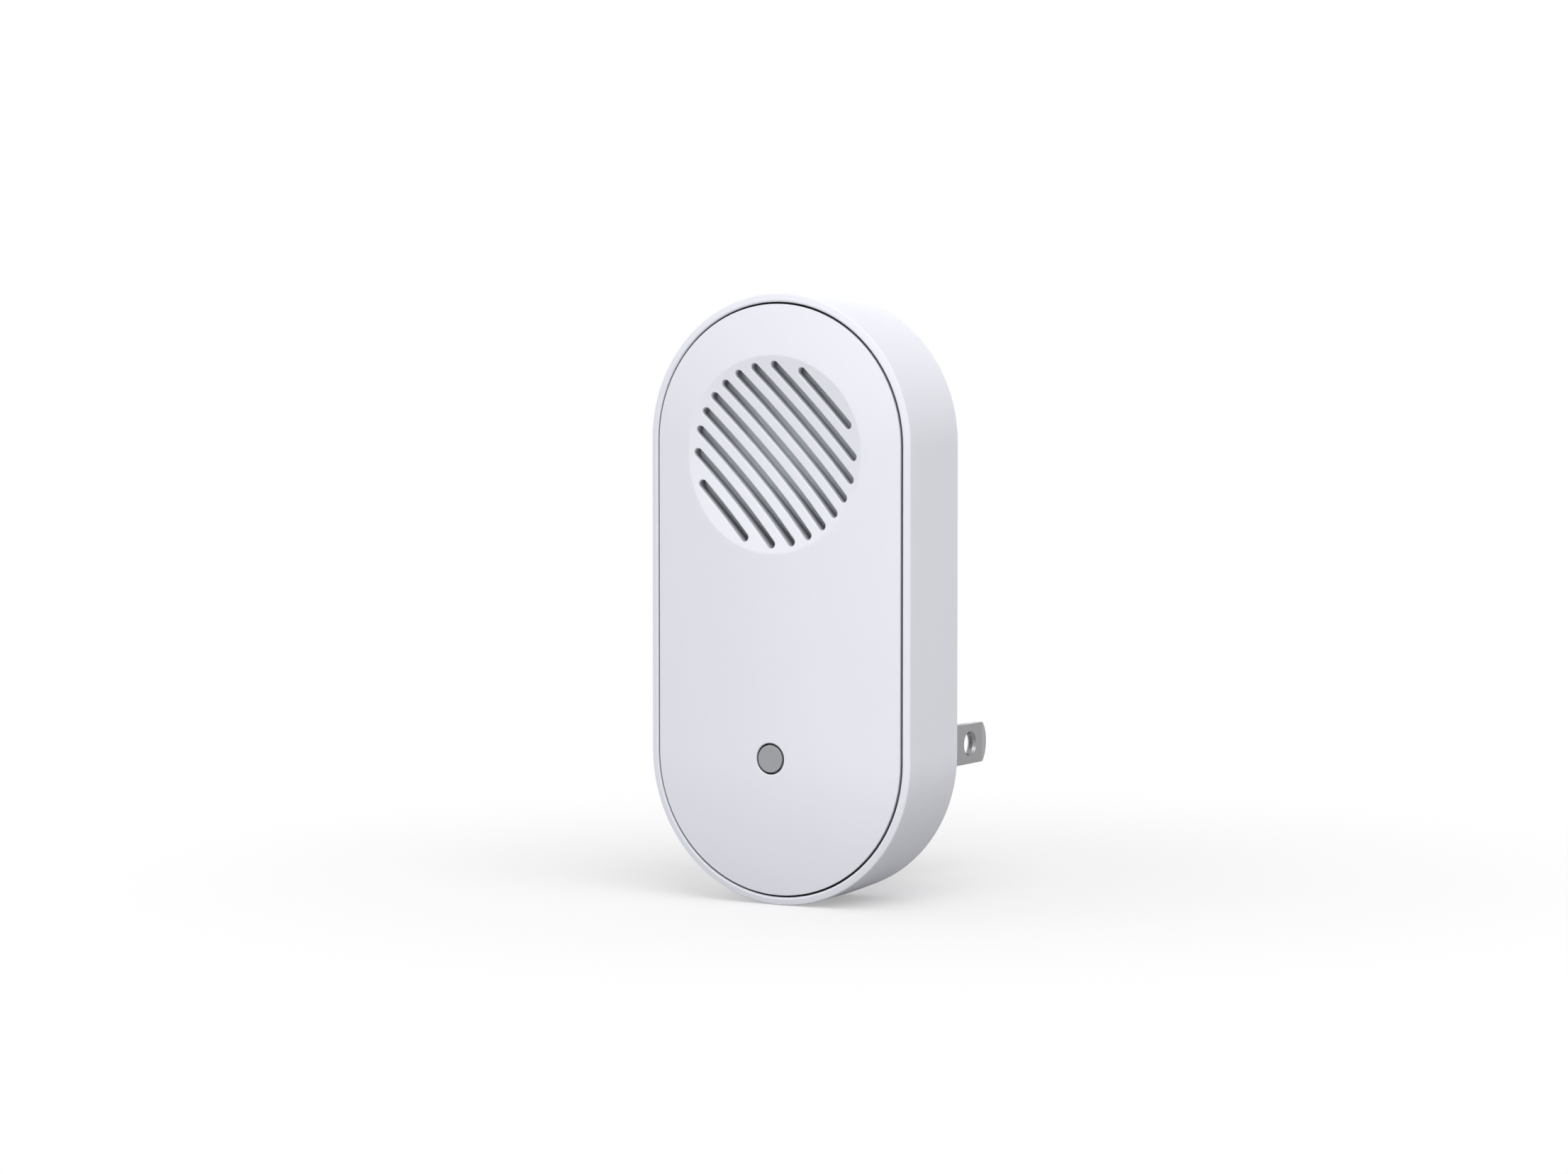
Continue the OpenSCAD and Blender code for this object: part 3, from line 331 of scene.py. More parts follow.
def dish_y(x, z):
    """Depth of the dish, whose curve differs along x, above its centre and below it."""
    rise = z - DISH_Z
    if rise > 0:
        curve = DISH_R ** 2 / (2 * (DISH_DEPTH - (DISH_R - DISH_DROP) ** 2 / (2 * DOME_R)))
    else:
        curve = DISH_R ** 2 / (2 * DISH_DEPTH)
    curve_x = 1 / (2 * (DISH_DEPTH / DISH_R ** 2 - 1 / (2 * DOME_R)))
    reach = curve - curve_x + sqrt(curve_x ** 2 - x * x)
    return DISH_Y - curve + sqrt(reach ** 2 - rise ** 2)


def face_y(x, z):
    """Depth of the cover's face: the dome, or the dish where it is deeper, with a soft edge between them."""
    dome = dome_y(x, z)
    if hypot(x, z - DISH_Z) > DISH_R + 2:
        return dome
    dish = dish_y(x, z)
    blend = max(DISH_EDGE - abs(dome - dish), 0)
    return max(dome, dish) + blend ** 2 / (4 * DISH_EDGE)


def slope_normal(height, x, z, towards=-1):
    """The normal of a surface y = height(x, z), towards the front (-1) or the back (1)."""
    step = 0.001
    dx = (height(x + step, z) - height(x - step, z)) / (2 * step)
    dz = (height(x, z + step) - height(x, z - step)) / (2 * step)
    return Vector((-dx, 1, -dz)).normalized() * towards


def face_normal(x, z):
    return slope_normal(face_y, x, z)


def cover_inner_y(x, z):
    return dome_y(x, z, COVER_WALL)


def grille_back(x, z):
    """Depth of the grille's bowl-shaped back."""
    return GRILLE_BACK_Y - GRILLE_CURVE + sqrt(GRILLE_CURVE ** 2 - x * x - (z - DISH_Z) ** 2)


def body_reach(x, z):
    """How far a point lies from the middle line of the pill-shaped body."""
    return hypot(x, max(abs(z - BODY_Z) - STRAIGHT, 0))


def cover_painted_shade(x, y, z):
    """Painted shade on the walls of the seam, the slots and the button's hole: how much of the shade that
    falls in them is painted into their colour.
    """
    if body_reach(x, z) > COVER_HW - WELD and y < LEDGE_Y + WELD:
        return (y - RIM_Y) / SEAM_PAINTED_SHADE_DEPTH
    if hypot(x, z - DISH_Z) < SPEAKER_HOLE_R + WELD and y < GRILLE_BACK_Y + WELD:
        return min((y - face_y(x, z)) / SLOT_PAINTED_SHADE_DEPTH, SLOT_PAINTED_SHADE_MAX)
    if hypot(x, z - BUTTON_Z) < BUTTON_HOLE_R + WELD and y < GUIDE_Y - FLANGE_PLAY:
        return (y - face_y(x, z) - BUTTON_LIP) / RING_PAINTED_SHADE_DEPTH
    return 0


def lip_and_wall(shell, stations, reach, lip, end_y):
    """A rounded lip round a hole in the face, and its wall to end_y(x, z). Returns the lip's outer loop."""
    rings = []
    for k in range(ROUND_STEPS + 1):
        turn = pi / 2 * k / ROUND_STEPS
        loop = []
        for bx, bz, ox, oz in stations:
            r = reach + lip * (1 - sin(turn))
            x, z = bx + r * ox, bz + r * oz
            normal = face_normal(x, z) * cos(turn) - Vector((ox, 0, oz)) * sin(turn)
            loop.append(((x, face_y(x, z) + lip * (1 - cos(turn)), z), normal))
        rings.append(loop)
    for first, second in zip(rings, rings[1:]):
        shell.strip(first, second)
    inwards = [(-s[2], 0, -s[3]) for s in stations]
    top = [p for p, _ in rings[-1]]
    wall(shell, top, [(x, end_y(x, z), z) for x, _, z in top], inwards)
    return [(p[0], p[2]) for p, _ in rings[0]]


def slot_stations():
    """Stations round each slot of the grille."""
    for k in range(SLOT_COUNT):
        off = (k - (SLOT_COUNT - 1) / 2) * SLOT_PITCH
        half = sqrt(SLOT_FIELD_R ** 2 - off ** 2)
        yield pill(off * sin(SLOT_LEAN), DISH_Z + off * cos(SLOT_LEAN), half, -SLOT_LEAN, SLOT_END_STEPS,
                   round(half / SLOT_STEP))


def face_points(holes):
    """Extra points over the face, so that its curves are followed between the holes."""
    points = []
    for reach in DOME_REACHES:
        # The further out, the more points
        points += flat_loop(pill(0, BODY_Z, STRAIGHT, steps=12 + round(2.5 * reach)), reach)
    points += [(0, BODY_Z + STRAIGHT * k / SIDE_STEPS) for k in range(-SIDE_STEPS, SIDE_STEPS + 1)]
    beside = DISH_RINGS[-1] + FACE_IN
    points = [(x, z) for x, z in points if hypot(x, z - DISH_Z) > DISH_R + beside]
    dish = pill(0, DISH_Z, 0)
    for off in DISH_RINGS:
        points += flat_loop(dish, DISH_R + off)
    # A grid along the slots, with four columns from one slot to the next
    cells = round(DISH_R / DISH_STEP)
    for i in range(-cells, cells + 1):
        for j in range(-cells, cells + 1):
            across, along = (i + 0.25) * SLOT_PITCH / 4, j * DISH_STEP
            x = along * cos(SLOT_LEAN) + across * sin(SLOT_LEAN)
            z = DISH_Z - along * sin(SLOT_LEAN) + across * cos(SLOT_LEAN)
            if hypot(x, z - DISH_Z) < DISH_R - 2 * FACE_IN:
                points.append((x, z))

    def free(x, z):
        for stations, reach in holes:
            near = min(stations, key=lambda s: hypot(x - s[0] - reach * s[2], z - s[1] - reach * s[3]))
            out = (x - near[0]) * near[2] + (z - near[1]) * near[3]
            if out < reach + HOLE_CLEAR and hypot(x - near[0], z - near[1]) < reach + HOLE_CLEAR:
                return False
        return True
    return [p for p in points if body_reach(*p) < COVER_HW - FACE_IN and free(*p)]


def make_cover():
    """The front cover: the dome with its dish, slots and button hole, and its skirt in the housing."""
    shell = Shell()
    body = pill(0, BODY_Z, STRAIGHT)
    slots = list(slot_stations())
    button = pill(0, BUTTON_Z, 0, steps=BUTTON_HOLE_STEPS)
    guide_out, guide_floor = GUIDE_IN + GUIDE_T, FLANGE_Y - FLANGE_PLAY
    # The edge of the face goes on along the dome's slope to its corner
    edge_in = COVER_HW - COVER_EDGE
    face_hw = edge_in - COVER_EDGE
    start_y = dome_y(face_hw, BODY_Z)
    slope = (dome_y(edge_in, BODY_Z) - start_y) / COVER_EDGE
    corner = (COVER_HW, start_y + slope * (COVER_HW - face_hw), COVER_EDGE)
    inner_hw = SKIRT_HW - SKIRT_T
    sweep(shell, body, [
        (face_hw, start_y, 0), corner, (COVER_HW, LEDGE_Y, 0), (SKIRT_HW, LEDGE_Y, 0),
        (SKIRT_HW, SKIRT_Y, SKIRT_EDGE), (inner_hw, SKIRT_Y, SKIRT_EDGE),
        (inner_hw, cover_inner_y(inner_hw, BODY_Z), 0),
    ])
    # The face, with the lips and walls of its holes
    loops = [flat_loop(body, face_hw)]
    for stations in slots:
        loops.append(lip_and_wall(shell, stations, SLOT_W / 2, SLOT_LIP, grille_back))
    loops.append(lip_and_wall(shell, button, BUTTON_HOLE_R, BUTTON_LIP, lambda x, z: guide_floor))
    holes = [(s, SLOT_W / 2 + SLOT_LIP) for s in slots] + [(button, BUTTON_HOLE_R + BUTTON_LIP)]
    fill(shell, loops, face_y, face_normal, face_points(holes))
    # The bowl behind the grille, the seat of the speaker mesh and the collar round the speaker
    collar = pill(0, DISH_Z, 0)
    bowl = [flat_loop(collar, BOWL_R)] + [flat_loop(s, SLOT_W / 2) for s in slots]
    fill(shell, bowl, grille_back, lambda x, z: slope_normal(grille_back, x, z, 1))
    sweep(shell, collar, [
        (COLLAR_R, COLLAR_Y, 0), (SPEAKER_HOLE_R, COLLAR_Y, 0), (SPEAKER_HOLE_R, GRILLE_BACK_Y, 0),
        (BOWL_R, GRILLE_BACK_Y, 0), (BOWL_R, grille_back(BOWL_R, DISH_Z), 0),
    ])
    # The guide round the button
    sweep(shell, button, [(guide_out, GUIDE_Y, 0), (GUIDE_IN, GUIDE_Y, 0), (GUIDE_IN, guide_floor, 0),
                          (BUTTON_HOLE_R, guide_floor, 0)])
    # The inside of the dome, up to the collar and the guide
    for stations, reach, end_y in ((collar, COLLAR_R, COLLAR_Y), (button, guide_out, GUIDE_Y)):
        top = [((x, cover_inner_y(x, z), z), (s[2], 0, s[3]))
               for (x, z), s in zip(flat_loop(stations, reach), stations)]
        shell.strip(top, ring(stations, reach, end_y, (1, 0)))
    inner = [flat_loop(body, inner_hw), flat_loop(collar, COLLAR_R), flat_loop(button, guide_out)]
    coarse, clear = pill(0, BODY_Z, STRAIGHT, steps=INNER_STEPS), 0.5
    points = [(x, z) for reach in INNER_REACHES for x, z in flat_loop(coarse, reach)
              if hypot(x, z - DISH_Z) > COLLAR_R + clear and hypot(x, z - BUTTON_Z) > guide_out + clear]
    fill(shell, inner, cover_inner_y, lambda x, z: slope_normal(cover_inner_y, x, z, 1), points)
    return shell.build("cover_shell", cover_painted_shade)


# ---- Rear housing ----

def rounded_box_loop(x, z, hw, hh, radius):
    """A rectangle across the depth with rounded corners, and the outward direction at each point."""
    loop, outward = [], []
    for k, (sx, sz) in enumerate(((1, 1), (-1, 1), (-1, -1), (1, -1))):
        centre_x, centre_z = x + sx * (hw - radius), z + sz * (hh - radius)
        for j in range(CORNER_STEPS + 1):
            turn = pi / 2 * (k + j / CORNER_STEPS)
            loop.append((centre_x + radius * cos(turn), centre_z + radius * sin(turn)))
            outward.append((cos(turn), sin(turn)))
    return loop, outward


def hole_wall(shell, loop, outward, y0, y1):
    """The wall of a hole of any outline between two depths."""
    normals = [(-ox, 0, -oz) for ox, oz in outward]
    wall(shell, [(x, y0, z) for x, z in loop], [(x, y1, z) for x, z in loop], normals)


def housing_painted_shade(x, y, z):
    """Painted shade on the rim's wall in the seam: how much of the shade that falls there is painted into its
    colour.
    """
    in_seam = CAVITY_HW + FACE_IN < body_reach(x, z) < RECESS_HW + WELD and y < LEDGE_Y + WELD
    return (y - RIM_Y) / SEAM_PAINTED_SHADE_DEPTH if in_seam else 0


def make_housing():
    """The rear housing: the band with its rim, the back, and the plug block with its pocket."""
    shell = Shell()
    body = pill(0, BODY_Z, STRAIGHT)
    plug = pill(0, POCKET_Z, PLUG_STRAIGHT / 2)
    back_in = BACK_HW - BACK_EDGE - FACE_IN
    # Outside of the band, from the cavity over the ledge and the rim to the flat back
    sweep(shell, body, [
        (CAVITY_HW, INNER_BACK_Y, 0), (CAVITY_HW, LEDGE_Y, 0), (RECESS_HW, LEDGE_Y, 0),
        (RECESS_HW, RIM_Y, RIM_SEAM_EDGE), (BODY_HW, RIM_Y + RIM_DROP, RIM_EDGE),
        (BAND_SWELL_HW, BAND_SWELL_Y, BAND_SWELL_R), (BACK_HW, BACK_Y, BACK_EDGE), (back_in, BACK_Y, 0),
    ])
    # Plug block, with a soft root where it leaves the back
    root = PLUG_BASE_HW + PLUG_ROOT
    face_in = PLUG_FACE_HW - PLUG_EDGE - FACE_IN
    sweep(shell, plug, [(root, BACK_Y, 0), (PLUG_BASE_HW, BACK_Y, PLUG_ROOT), (PLUG_FACE_HW, 0, PLUG_EDGE),
                        (face_in, 0, 0)])
    label, label_out = rounded_box_loop(0, LABEL_Z, LABEL_W / 2 + LABEL_MARGIN, LABEL_H / 2 + LABEL_MARGIN,
                                        LABEL_CORNER_R + LABEL_MARGIN)
    flat(shell, [flat_loop(body, back_in), flat_loop(plug, root), label], BACK_Y, 1)
    hole_wall(shell, label, label_out, BACK_Y, BACK_Y - LABEL_RECESS)
    flat(shell, [label], BACK_Y - LABEL_RECESS, 1)
    # Slots for the blades, through the outlet face
    slot_hw, slot_hh = BLADE_T / 2 + BLADE_SLOT_PLAY, BLADE_W / 2 + BLADE_SLOT_PLAY
    slots = [rounded_box_loop(side * BLADE_X, 0, slot_hw, slot_hh, BLADE_SLOT_EDGE) for side in (-1, 1)]
    flat(shell, [flat_loop(plug, face_in)] + [s[0] for s in slots], 0, 1)
    for loop, outward in slots:
        hole_wall(shell, loop, outward, 0, -OUTLET_WALL)
    # Inside: the back wall and the pocket for the power supply, with its shelf
    flat(shell, [flat_loop(plug, POCKET_HW)] + [s[0] for s in slots], -OUTLET_WALL, -1)
    sweep(shell, plug, [(POCKET_HW, -OUTLET_WALL, 0), (POCKET_HW, SHELF_Y, 0), (MOUTH_HW, SHELF_Y, 0),
                        (MOUTH_HW, INNER_BACK_Y, 0)])
    flat(shell, [flat_loop(body, CAVITY_HW), flat_loop(plug, MOUTH_HW)], INNER_BACK_Y, -1)
    return shell.build("housing_shell", housing_painted_shade)


# ---- Button, blades and label ----

def make_button():
    """The button with the flange that keeps it in the cover, down to the end of its stem."""
    shell = Shell()
    stations = pill(0, BUTTON_Z, 0, steps=BUTTON_STEPS)
    stem_end, flange_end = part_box("button_cap")[1][1] / MM, FLANGE_Y + BUTTON_FLANGE_T
    sweep(shell, stations, [
        (0, FRONT_Y, 0), (BUTTON_MIDDLE_R, FRONT_Y, 0), (BUTTON_R, FRONT_Y, BUTTON_EDGE),
        (BUTTON_R, FLANGE_Y, 0), (BUTTON_FLANGE_R, FLANGE_Y, FLANGE_EDGE),
        (BUTTON_FLANGE_R, flange_end, FLANGE_EDGE), (BUTTON_STEM_R, flange_end, 0),
        (BUTTON_STEM_R, stem_end, FLANGE_EDGE), (0, stem_end, 0),
    ])
    return shell.build("button_top")


def blade_outline(inset):
    """A blade's outline as (z, y), drawn in by inset, and its outward directions. It starts with the tip."""
    tip_r = ((BLADE_W / 2) ** 2 + BLADE_BULGE ** 2) / (2 * BLADE_BULGE)
    half, r = BLADE_W / 2 - inset, tip_r - inset
    swing = asin(half / r)
    turns = [swing - 2 * swing * k / BLADE_TIP_STEPS for k in range(BLADE_TIP_STEPS + 1)]
    loop = [(r * sin(t), BLADE_LEN - tip_r + r * cos(t)) for t in turns]
    outward = [(sin(t), cos(t)) for t in turns]
    crease, tail = BLADE_LEN - BLADE_BEVEL_LEN, inset - BLADE_TAIL
    loop += [(-half, crease), (-half, tail), (half, tail), (half, crease)]
    outward += [(-1, 0), (-1, -1), (1, -1), (1, 0)]
    return loop, outward


def make_blade(name, x):
    """A plug blade with its thinned round tip and its countersunk hole."""
    shell = Shell()
    crease = BLADE_LEN - BLADE_BEVEL_LEN
    lean = BLADE_BEVEL / BLADE_BEVEL_LEN
    turns = [2 * pi * k / BLADE_HOLE_STEPS for k in range(BLADE_HOLE_STEPS)]
    around = [(cos(turn), sin(turn)) for turn in turns]
    hole = [(BLADE_SINK_R * oz, BLADE_HOLE_Y + BLADE_SINK_R * oy) for oz, oy in around]

    def height(y):
        return BLADE_T / 2 - lean * max(y - crease, 0)

    outline, _ = blade_outline(BLADE_EDGE)
    tip_end = BLADE_TIP_STEPS + 1
    tip, rest = outline[:tip_end + 1] + outline[-1:], outline[tip_end:]
    for side in (-1, 1):
        def place(z, y, h, side=side):
            return (x + side * h, y, z)
        fill(shell, [tip], lambda z, y: height(y), lambda z, y: (side, lean, 0), place=place)
        fill(shell, [rest, hole], lambda z, y: height(y), lambda z, y: (side, 0, 0), place=place)
        # The rounded edge, then half of the flat rim
        rings = []
        for k in range(ROUND_STEPS + 1):
            turn = pi / 2 * k / ROUND_STEPS
            loop, outward = blade_outline(BLADE_EDGE * (1 - sin(turn)))
            rings.append([(place(z, y, height(y) - BLADE_EDGE * (1 - cos(turn))),
                           (side * cos(turn), oy * sin(turn), oz * sin(turn)))
                          for (z, y), (oz, oy) in zip(loop, outward)])
        loop, outward = blade_outline(0)
        rings.append([(place(z, y, 0), (0, oy, oz)) for (z, y), (oz, oy) in zip(loop, outward)])
        for first, second in zip(rings, rings[1:]):
            shell.strip(first, second)

        # The countersunk mouth and half of the hole's wall
        def hole_ring(r, h, facing):
            return [(place(r * oz, BLADE_HOLE_Y + r * oy, h), (side * facing, -oy, -oz)) for oz, oy in around]
        sink_h = BLADE_T / 2 - (BLADE_SINK_R - BLADE_HOLE_R)
        shell.strip(hole_ring(BLADE_SINK_R, BLADE_T / 2, 1), hole_ring(BLADE_HOLE_R, sink_h, 1))
        shell.strip(hole_ring(BLADE_HOLE_R, sink_h, 0), hole_ring(BLADE_HOLE_R, 0, 0))
    return shell.build(name)


def make_label():
    """The label film: a thin plate with round corners and a soft edge, left blank."""
    shell = Shell()
    base_y = BACK_Y - LABEL_RECESS
    side_y, top_y = base_y + LABEL_T - LABEL_EDGE, base_y + LABEL_T
    outer, outward = rounded_box_loop(0, LABEL_Z, LABEL_W / 2, LABEL_H / 2, LABEL_CORNER_R)
    inner, _ = rounded_box_loop(0, LABEL_Z, LABEL_W / 2 - LABEL_EDGE, LABEL_H / 2 - LABEL_EDGE,
                                LABEL_CORNER_R - LABEL_EDGE)
    sides = [(ox, 0, oz) for ox, oz in outward]
    wall(shell, [(x, base_y, z) for x, z in outer], [(x, side_y, z) for x, z in outer], sides)
    wall(shell, [(x, side_y, z) for x, z in outer], [(x, top_y, z) for x, z in inner], sides)
    flat(shell, [outer], base_y, -1)
    flat(shell, [inner], top_y, 1)
    return shell.build("label_plate")


def make_roll():
    """The rubber roll, in sectors that each lie along their own radius. Returns (piece, direction) pairs."""
    def outline(radius, y, low, facing):
        """Foot, roll and foot again as (reach, y, normal), on the rubber's front (-1) or back (1)."""
        turns = [pi - low - (pi - 2 * low) * k / ROLL_STEPS for k in range(ROLL_STEPS + 1)]
        arc = [(ROLL_R + radius * cos(t), ROLL_Y + radius * sin(t), (facing * cos(t), facing * sin(t)))
               for t in turns]
        feet = [(r, y, (0, facing)) for r in (ROLL_FOOT_IN, arc[0][0], arc[-1][0], ROLL_FOOT_OUT)]
        return feet[:2] + arc + feet[2:]

    def at(point, turn, normal=None):
        reach, y, own = point
        out, depth = normal or own
        return (reach * cos(turn), y, DISH_Z + reach * sin(turn)), (out * cos(turn), depth, out * sin(turn))
    front = outline(ROLL_OUT - ROLL_T, ROLL_Y, 0, -1)
    back = outline(ROLL_OUT, ROLL_Y + ROLL_T, asin(ROLL_T / ROLL_OUT), 1)
    made = []
    for sector in range(ROLL_SECTORS):
        shell = Shell()
        turns = [2 * pi * (sector + j / SECTOR_STEPS) / ROLL_SECTORS for j in range(SECTOR_STEPS + 1)]
        for a, b in zip(turns, turns[1:]):
            for side in (front, back):
                for p, q in zip(side, side[1:]):
                    shell.face([at(p, a), at(q, a), at(q, b), at(p, b)])
            for end, out in ((0, (-1, 0)), (-1, (1, 0))):
                p, q = front[end], back[end]
                shell.face([at(p, a, out), at(q, a, out), at(q, b, out), at(p, b, out)])
        for turn, way in ((turns[0], -1), (turns[-1], 1)):
            normal = (-way * sin(turn), 0, way * cos(turn))
            for k in range(len(front) - 1):
                shell.face([(at(p, turn)[0], normal) for p in (front[k], front[k + 1], back[k + 1], back[k])])
        middle = (turns[0] + turns[-1]) / 2
        made.append((shell.build(f"roll_{sector + 1:02d}"), (cos(middle), sin(middle))))
    return made


def copy_node(node, name):
    """A piece with a node's own mesh, for a node that has to change shape in a pose."""
    mesh = frame["nodes"][node].data.copy()
    welded = bmesh.new()
    welded.from_mesh(mesh)
    bmesh.ops.remove_doubles(welded, verts=welded.verts, dist=WELD * MM)
    welded.to_mesh(mesh)
    welded.free()
    piece = bpy.data.objects.new(name, mesh)
    piece.data.materials.clear()
    bpy.context.scene.collection.objects.link(piece)
    return piece


# ---- Materials ----

def linear(level):
    """Turns a display level from 0 to 255 into a linear one."""
    level /= 255
    return level / 12.92 if level <= 0.04045 else ((level + 0.055) / 1.055) ** 2.4


def tint(*levels):
    return (*(linear(v) for v in levels), 1)


class Finish:
    """A procedural material under construction. Textures lie in the object's own space, in metres."""

    def __init__(self, name, rough, metallic=0.0, ior=1.46):
        self.material = bpy.data.materials.new(name)
        self.material.use_nodes = True
        self.tree = self.material.node_tree
        self.shader = self.tree.nodes["Principled BSDF"]
        self.shader.inputs["Roughness"].default_value = rough
        self.shader.inputs["Metallic"].default_value = metallic
        self.shader.inputs["IOR"].default_value = ior
        self.coords = self.node("ShaderNodeTexCoord").outputs["Object"]
        self.bump_out = None

    def node(self, kind, **settings):
        node = self.tree.nodes.new(kind)
        for key, value in settings.items():
            setattr(node, key, value)
        return node

    def link(self, source, target):
        self.tree.links.new(source, target)
        return self

    def stretched(self, scale):
        mapping = self.node("ShaderNodeMapping")
        mapping.inputs["Scale"].default_value = scale
        self.link(self.coords, mapping.inputs["Vector"])
        return mapping.outputs["Vector"]

    def noise(self, size_mm, detail=2.0, stretch=(1, 1, 1)):
        """Noise with spots of about size_mm."""
        noise = self.node("ShaderNodeTexNoise")
        noise.inputs["Scale"].default_value = 1
        noise.inputs["Detail"].default_value = detail
        self.link(self.stretched(tuple(c / (size_mm * MM) for c in stretch)), noise.inputs["Vector"])
        return noise.outputs["Fac"]

    def bands(self, pitch_mm, axis, profile="SIN", distortion=0.0):
        """Ridges that repeat every pitch_mm along an axis."""
        wave = self.node("ShaderNodeTexWave", wave_type="BANDS", bands_direction=axis, wave_profile=profile)
        wave.inputs["Scale"].default_value = 1
        wave.inputs["Distortion"].default_value = distortion
        scale = WAVE_PERIOD / (pitch_mm * MM)
        self.link(self.stretched((scale, scale, scale)), wave.inputs["Vector"])
        return wave.outputs["Fac"]

    def math(self, operation, a, b):
        node = self.node("ShaderNodeMath", operation=operation)
        for socket, value in zip(node.inputs, (a, b)):
            if isinstance(value, (int, float)):
                socket.default_value = value
            else:
                self.link(value, socket)
        return node.outputs["Value"]

    def ramp(self, fac, low, high, start=0.3, end=0.7):
        """Maps a factor from low at start to high at end."""
        node = self.node("ShaderNodeMapRange")
        self.link(fac, node.inputs["Value"])
        for name, value in (("From Min", start), ("From Max", end), ("To Min", low), ("To Max", high)):
            node.inputs[name].default_value = value
        return node.outputs["Result"]

    def blend(self, fac, first, second):
        node = self.node("ShaderNodeMix", data_type="RGBA")
        self.link(fac, node.inputs["Factor"])
        for socket, value in ((node.inputs["A"], first), (node.inputs["B"], second)):
            if isinstance(value, tuple):
                socket.default_value = value
            else:
                self.link(value, socket)
        return node.outputs["Result"]

    def color(self, source):
        return self.link(source, self.shader.inputs["Base Color"])

    def rough(self, source):
        return self.link(source, self.shader.inputs["Roughness"])

    def bump(self, height, depth_mm, strength=1.0):
        """Adds a bump of depth_mm over the ones before it."""
        node = self.node("ShaderNodeBump")
        node.inputs["Strength"].default_value = strength
        node.inputs["Distance"].default_value = depth_mm * MM
        self.link(height, node.inputs["Height"])
        if self.bump_out:
            self.link(self.bump_out, node.inputs["Normal"])
        self.bump_out = node.outputs["Normal"]
        return self.link(self.bump_out, self.shader.inputs["Normal"])


def shade(color, factor):
    return (*(min(c * factor, 1) for c in color[:3]), 1)


def moulded(name, color, rough=0.45, grain_mm=0.35, grain_depth=0.002, mottle=0.012, mottle_mm=9, spread=0.04,
            painted_gap_shade=1.0):
    """Moulded plastic or rubber: a fine grain, colour and gloss that drift slowly, and, when asked for,
    painted shade on the walls of gaps, read from a point attribute of the mesh.
    """
    made = Finish(name, rough)
    slow = made.noise(mottle_mm, 2)
    surface = made.blend(made.ramp(slow, 0, 1), shade(color, 1 - mottle), shade(color, 1 + mottle))
    if painted_gap_shade < 1:
        # Painted shade: walls deep in gaps are darkened in the colour, in place of the shade that falls there
        painted_shade = made.node("ShaderNodeAttribute", attribute_name="painted_shade").outputs["Fac"]
        surface = made.blend(made.ramp(painted_shade, 0, 1, 0, 1), surface, shade(color, painted_gap_shade))
    made.color(surface)
    made.rough(made.ramp(made.noise(mottle_mm / 4, 3), rough - spread, rough + spread))
    return made.bump(made.noise(grain_mm, 3), grain_depth)


def metal(name, color, rough=0.3, stretch=(1, 1, 12), streak_mm=1.2, depth=0.001, spread=0.08):
    """Worked metal with fine streaks."""
    made = Finish(name, rough, 1.0)
    streaks = made.noise(streak_mm, 4, stretch)
    made.color(made.blend(made.ramp(streaks, 0, 1), shade(color, 0.93), shade(color, 1.05)))
    made.rough(made.ramp(made.noise(streak_mm, 4, stretch), rough - spread, rough + spread))
    return made.bump(streaks, depth)


def cloth(name, color, pitch_mm=0.16):
    """A fine woven mesh: two sets of threads with dark holes between them."""
    made = Finish(name, 0.75)
    warp, weft = made.bands(pitch_mm, "X"), made.bands(pitch_mm, "Z")
    threads = made.math("MAXIMUM", warp, weft)
    drift = made.ramp(made.noise(3, 2), 0.92, 1.06)
    light = made.math("MULTIPLY", made.ramp(threads, 0.8, 1.05, 0.2, 0.9), drift)
    made.color(made.blend(light, (0, 0, 0, 1), color))
    return made.bump(threads, pitch_mm * 0.2, 0.6)


def laminate(name, color, trace_mm=1.1):
    """A circuit board: solder mask over copper lines that stand slightly proud."""
    made = Finish(name, 0.35)
    brick = made.node("ShaderNodeTexBrick")
    brick.inputs["Scale"].default_value = 1
    brick.inputs["Mortar Size"].default_value = 0.03
    turned = made.node("ShaderNodeCombineXYZ")
    apart = made.node("ShaderNodeSeparateXYZ")
    made.link(made.stretched((1 / (trace_mm * MM * 2),) * 3), apart.inputs["Vector"])
    made.link(apart.outputs["X"], turned.inputs["X"]).link(apart.outputs["Z"], turned.inputs["Y"])
    made.link(turned.outputs["Vector"], brick.inputs["Vector"])
    lines = brick.outputs["Fac"]
    made.color(made.blend(lines, color, shade(color, 1.9)))
    made.rough(made.ramp(made.noise(2, 2), 0.28, 0.42))
    return made.bump(lines, 0.02).bump(made.noise(0.15, 2), 0.002)


def wound(name, color, pitch_mm, axis, rough=0.35, metallic=0.0, depth=0.3):
    """Wire or tape laid in turns along an axis."""
    made = Finish(name, rough, metallic)
    turns = made.bands(pitch_mm, axis)
    # Painted shade: the colour darkens in the grooves between turns, where shade falls
    made.color(made.blend(made.ramp(turns, 0, 1, 0, 0.6), shade(color, 0.45), color))
    made.rough(made.ramp(made.noise(1.0, 2), rough - 0.05, rough + 0.1))
    return made.bump(turns, pitch_mm * depth)


def fibres(name, color, size_mm=0.5, rough=0.85, stretch=(1, 3, 1), depth=0.03):
    """Paper, card or foam: tangled fibres or cells."""
    made = Finish(name, rough)
    tangle = made.noise(size_mm, 6, stretch)
    made.color(made.blend(made.ramp(tangle, 0, 1), shade(color, 0.75), shade(color, 1.25)))
    return made.bump(tangle, depth)


